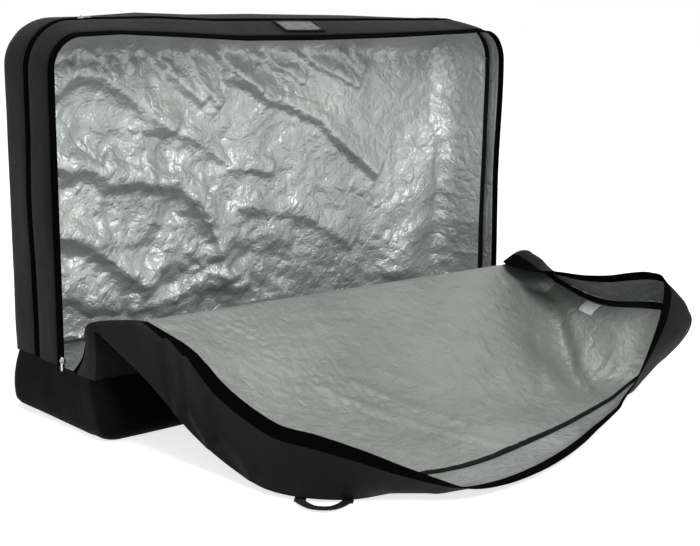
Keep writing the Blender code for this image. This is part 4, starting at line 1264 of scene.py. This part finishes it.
def make_rims():
    """The rim all round, black outside and silver inside, with its zip's tape."""
    reaches = np.linspace(-rim_tuck, rim_width, 13)
    tape_reaches = rim_width + np.array((-rim_tape_lap, *rim_tape_steps, rim_tape_width))
    ahead = Vector((-lip_axis.y, lip_axis.x, 0.0))
    lip = tuple(tuple(lip_hinge + ahead * reach) for reach in lip_bend)
    upper = ("bag", "cover_slope")
    lower = ("cover_slope", "cover_apron")
    last = edge_run - panel_split
    for name, side, start, end, count, bodies, limits, cloths, zips in (
            ("left_crest_rim", -1, rim_start, panel_split, 26, upper, crest_bend,
             ("slope_rim_left", "riser_gusset_left"), ("slope_zip_left", "riser_zip_left")),
            ("left_rim", 0, panel_split, lip_start, 150, lower, middle_bend,
             ("apron_rim_left",), ("apron_zip_left",)),
            ("front_lip", 0, lip_start, lip_end, 150, ("cover_apron", "cover_lip"), lip,
             ("cover_lip",), ("lip_zip",)),
            ("right_rim", 0, lip_end, last, 150, lower, middle_bend,
             ("apron_rim_right",), ("apron_zip_right",)),
            ("right_crest_rim", 1, last, edge_run - rim_start, 26, upper, crest_bend,
             ("slope_rim_right", "riser_gusset_right"), ("slope_zip_right", "riser_zip_right"))):
        runs = np.linspace(start, end, count)
        rows = whole_rim(side, runs, reaches)
        # The rim's inner face takes the darker copy of the silver lining, which paints shade there.
        piece = cloth(name, rows, rim_thickness, nylon, shaded_rim_silver, edge=nylon)
        dress(piece, "nylon", cloths, bodies, limits)
        zipper = cloth(name + "_zip", whole_rim(side, runs, tape_reaches), rim_tape_thickness,
                       tape, tape)
        dress(zipper, "zip_tape", zips, bodies, limits)


def edge_band(name, runs, inset, width, crown, material, node, slot, bodies, limits):
    """A trim on the panel's upper face, a little inside the cover's edge."""
    across, along = edge_spot(runs, inset + np.linspace(0, 1, 4)[:, None] * width)
    points = cover_point(across, along)
    lift = panel_relief(across, along) + cover_thickness + trim_gap
    lift[1:3] += crown
    points = points + normals_of(points) * lift[..., None]
    piece = cloth(name, points, trim_thickness, material, material)
    dress(piece, slot, (node,), bodies, limits)


def seam_inset(runs):
    """How far inside the cover's edge its seam lies: it cuts the front left corner short."""
    front = ease(runs, *seam_front_start) * (1 - ease(runs, *seam_front_end))
    corner = np.exp(-((runs - seam_corner_run) / seam_corner_reach) ** 2)
    return (seam_edge_inset + (seam_binding_inset - seam_edge_inset) * front
            + seam_corner_inset * corner)


def make_cover_trims():
    upper = (("bag", "cover_slope"), crest_bend)
    lower = (("cover_slope", "cover_apron"), middle_bend)
    last = edge_run - panel_split
    for name, start, end, count, node, bend in (
            ("left_seam_upper", seam_binding_start, panel_split, 30, "slope_binding_left", upper),
            ("edge_seam", panel_split, last, 420, "apron_binding", lower),
            ("right_seam_upper", last, edge_run - seam_binding_start, 30,
             "slope_binding_right", upper)):
        runs = np.linspace(start, end, count)
        edge_band(name, runs, seam_inset(runs), seam_binding_width, seam_binding_crown, binding,
                  node, "binding", *bend)
    middle = edge_run - care_label_from_crest
    runs = np.linspace(middle - care_label_length / 2, middle + care_label_length / 2, 14)
    edge_band("care_label_cloth", runs, care_label_offset, care_label_width, care_label_crown,
              label, "care_label", "label", *lower)


# The card pocket, lying on the strip's own surface

def on_strip(x, y, rise):
    """Points over the shell's top front strip."""
    lean = (mid_y - y) / (mid_y - opening_y)
    return shell_softness(places_at(x, y, bag_height - opening_top_drop * lean + rise))


def make_pocket():
    middle = (opening_y + main_tape_width + mid_y - expansion_tape_width / 2) / 2
    x = pocket_centre_x + np.linspace(-1, 1, 40)[None, :] * (pocket_length / 2 - pocket_border)
    y = middle + np.linspace(-1, 1, 22)[:, None] * (pocket_width / 2 - pocket_border)
    wave = waves(places_at(x, y), pocket_wave_size, 91)
    for name, lift, thickness, height, material, node, slot in (
            ("pocket_card_sheet", card_lift, card_thickness, card_wave, card, "pocket_card",
             "card"),
            ("pocket_film", film_lift, film_thickness, film_wave, film, "pocket_window",
             "clear_film")):
        grid = on_strip(x, y, pocket_rise + lift + wave * height)
        dress(cloth(name, grid, thickness, material, material), slot, (node,), "bag")
    ring = []
    for share in np.linspace(0, 1, 5):
        half = np.array((pocket_length, pocket_width)) / 2 - pocket_border * share
        line = spread_ring(np.array(((-1, -1), (1, -1), (1, 1), (-1, 1))) * half, 120)
        crown = pocket_border_crown * math.sin(math.pi * (0.15 + 0.70 * share))
        ring.append(on_strip(pocket_centre_x + line[:, 0], middle + line[:, 1],
                             pocket_rise - pocket_border_sink + crown))
    border = cloth("pocket_border", np.stack(ring), pocket_border_thickness, binding, binding,
                   wrap=True)
    dress(border, "binding", ("pocket_frame",), "bag")


# The grab loop's webbing, where its solids are

def make_loop():
    """A webbing loop that hangs from the hem, its ends sewn under the cover."""
    out = np.array((-loop_axis[1], loop_axis[0], 0.0))
    half = (loop_length - webbing_width) / 2
    at = np.linspace(0, 1, 70)
    flat = smooth_curve(np.linspace(0, 1, len(loop_shares)), loop_shares, at) * (half, loop_drop)
    rail = np.array(loop_place) + flat[:, :1] * np.array(loop_axis) + flat[:, 1:] * out
    rail[:, 2] = loop_place[2] + webbing_lift + webbing_hump * np.sin(at * math.pi)
    across = np.cross(unit(np.gradient(rail, axis=0)), (0.0, 0.0, 1.0))
    rows = [rail + across * share * webbing_width * webbing_narrow_share
            + (0, 0, webbing_crown * (1 - (2 * share) ** 2))
            for share in np.linspace(0.5, -0.5, 5)]
    piece = cloth("loop_webbing", np.stack(rows), webbing_thickness, webbing, webbing)
    dress(piece, "webbing", ("grab_loop",), "grab_loop")
    for side in ("left", "right"):
        node = "loop_end_" + side
        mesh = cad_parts[node].data.copy()
        mesh.materials.clear()
        mesh.materials.append(webbing)
        dress(add_object("loop_tail_" + side, mesh), "webbing", (node,), "cover_apron")


def dress_rigid_nodes():
    """Rigid pieces keep their solids and only take a material."""
    for name, material in (("main_slider_left", nickel), ("main_slider_right", nickel),
                           ("main_pull_left", nickel), ("main_pull_right", nickel),
                           ("expansion_slider", nickel), ("expansion_pull", nickel),
                           ("base_board", board)):
        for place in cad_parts[name].material_slots:
            place.material = material


# Camera, light and floor

def make_camera():
    data = bpy.data.cameras.new("camera")
    data.sensor_width = camera_sensor
    data.lens = camera_focal_pixels / photo_width * camera_sensor
    data.clip_end = camera_sight
    camera = add_object("camera", data)
    camera.location = camera_place
    camera.rotation_euler = (math.radians(90 - camera_pitch), 0, math.radians(-camera_yaw))
    bpy.context.scene.camera = camera


def add_lamp(name, place, target, size, power):
    data = bpy.data.lights.new(name, "AREA")
    data.shape = "SQUARE"
    data.size = size
    data.energy = power
    lamp = add_object(name, data)
    lamp.location = place
    way = Vector(target) - Vector(place)
    lamp.rotation_euler = way.to_track_quat("-Z", "Y").to_euler()


def make_world():
    """Soft light all round, which itself is seen as plain white."""
    world = bpy.data.worlds.new("studio")
    bpy.context.scene.world = world
    world.use_nodes = True
    wires = Wiring(world.node_tree)
    light = wires.feed(wires.tree.nodes["Background"],
                       {"Color": (0.95, 0.97, 1.0, 1), "Strength": 0.34})
    plain = wires.feed(wires.node("Background"), {"Color": (1, 1, 1, 1), "Strength": 1.0})
    mix = wires.feed(wires.node("MixShader"), {
        0: wires.seen_directly(), 1: light.outputs[0], 2: plain.outputs[0]})
    wires.feed(wires.tree.nodes["World Output"], {"Surface": mix.outputs[0]})


def make_floor():
    """A pale floor with a glow of its own, so that it fades into the white round it."""
    mesh = bpy.data.meshes.new("floor")
    corners = ((-1, -1), (1, -1), (1, 1), (-1, 1))
    mesh.from_pydata([(x * floor_reach, y * floor_reach, 0) for x, y in corners], [],
                     [(0, 1, 2, 3)])
    floor = add_object("floor", mesh)
    floor.location.z = -floor_drop
    wires, finish = new_material("floor")
    mesh.materials.append(finish({"Base Color": (0.90, 0.90, 0.90, 1), "Roughness": 0.9,
                                  "Specular IOR Level": 0.0}))
    far = wires.feed(wires.node("VectorMath", operation="LENGTH"), {0: wires.coords})
    strength = wires.ranged(far.outputs["Value"], *floor_glow_band, *floor_glow_range)
    glow = wires.feed(wires.node("Emission"), {
        "Color": (1, 1, 1, 1),
        "Strength": wires.work_out("MULTIPLY", wires.seen_directly(), strength)})
    both = wires.feed(wires.node("AddShader"), {
        0: wires.tree.nodes["Principled BSDF"].outputs[0], 1: glow.outputs[0]})
    wires.feed(wires.tree.nodes["Material Output"], {"Surface": both.outputs[0]})


def make_studio():
    bpy.context.scene.view_settings.view_transform = "Standard"
    make_camera()
    make_world()
    make_floor()
    for lamp in lamps:
        add_lamp(*lamp)


make_studio()
make_shell_strips()
make_shell_zips()
make_lining()
make_rear_panel()
make_base()
make_cover_panels()
make_rims()
make_cover_trims()
make_pocket()
make_loop()
dress_rigid_nodes()
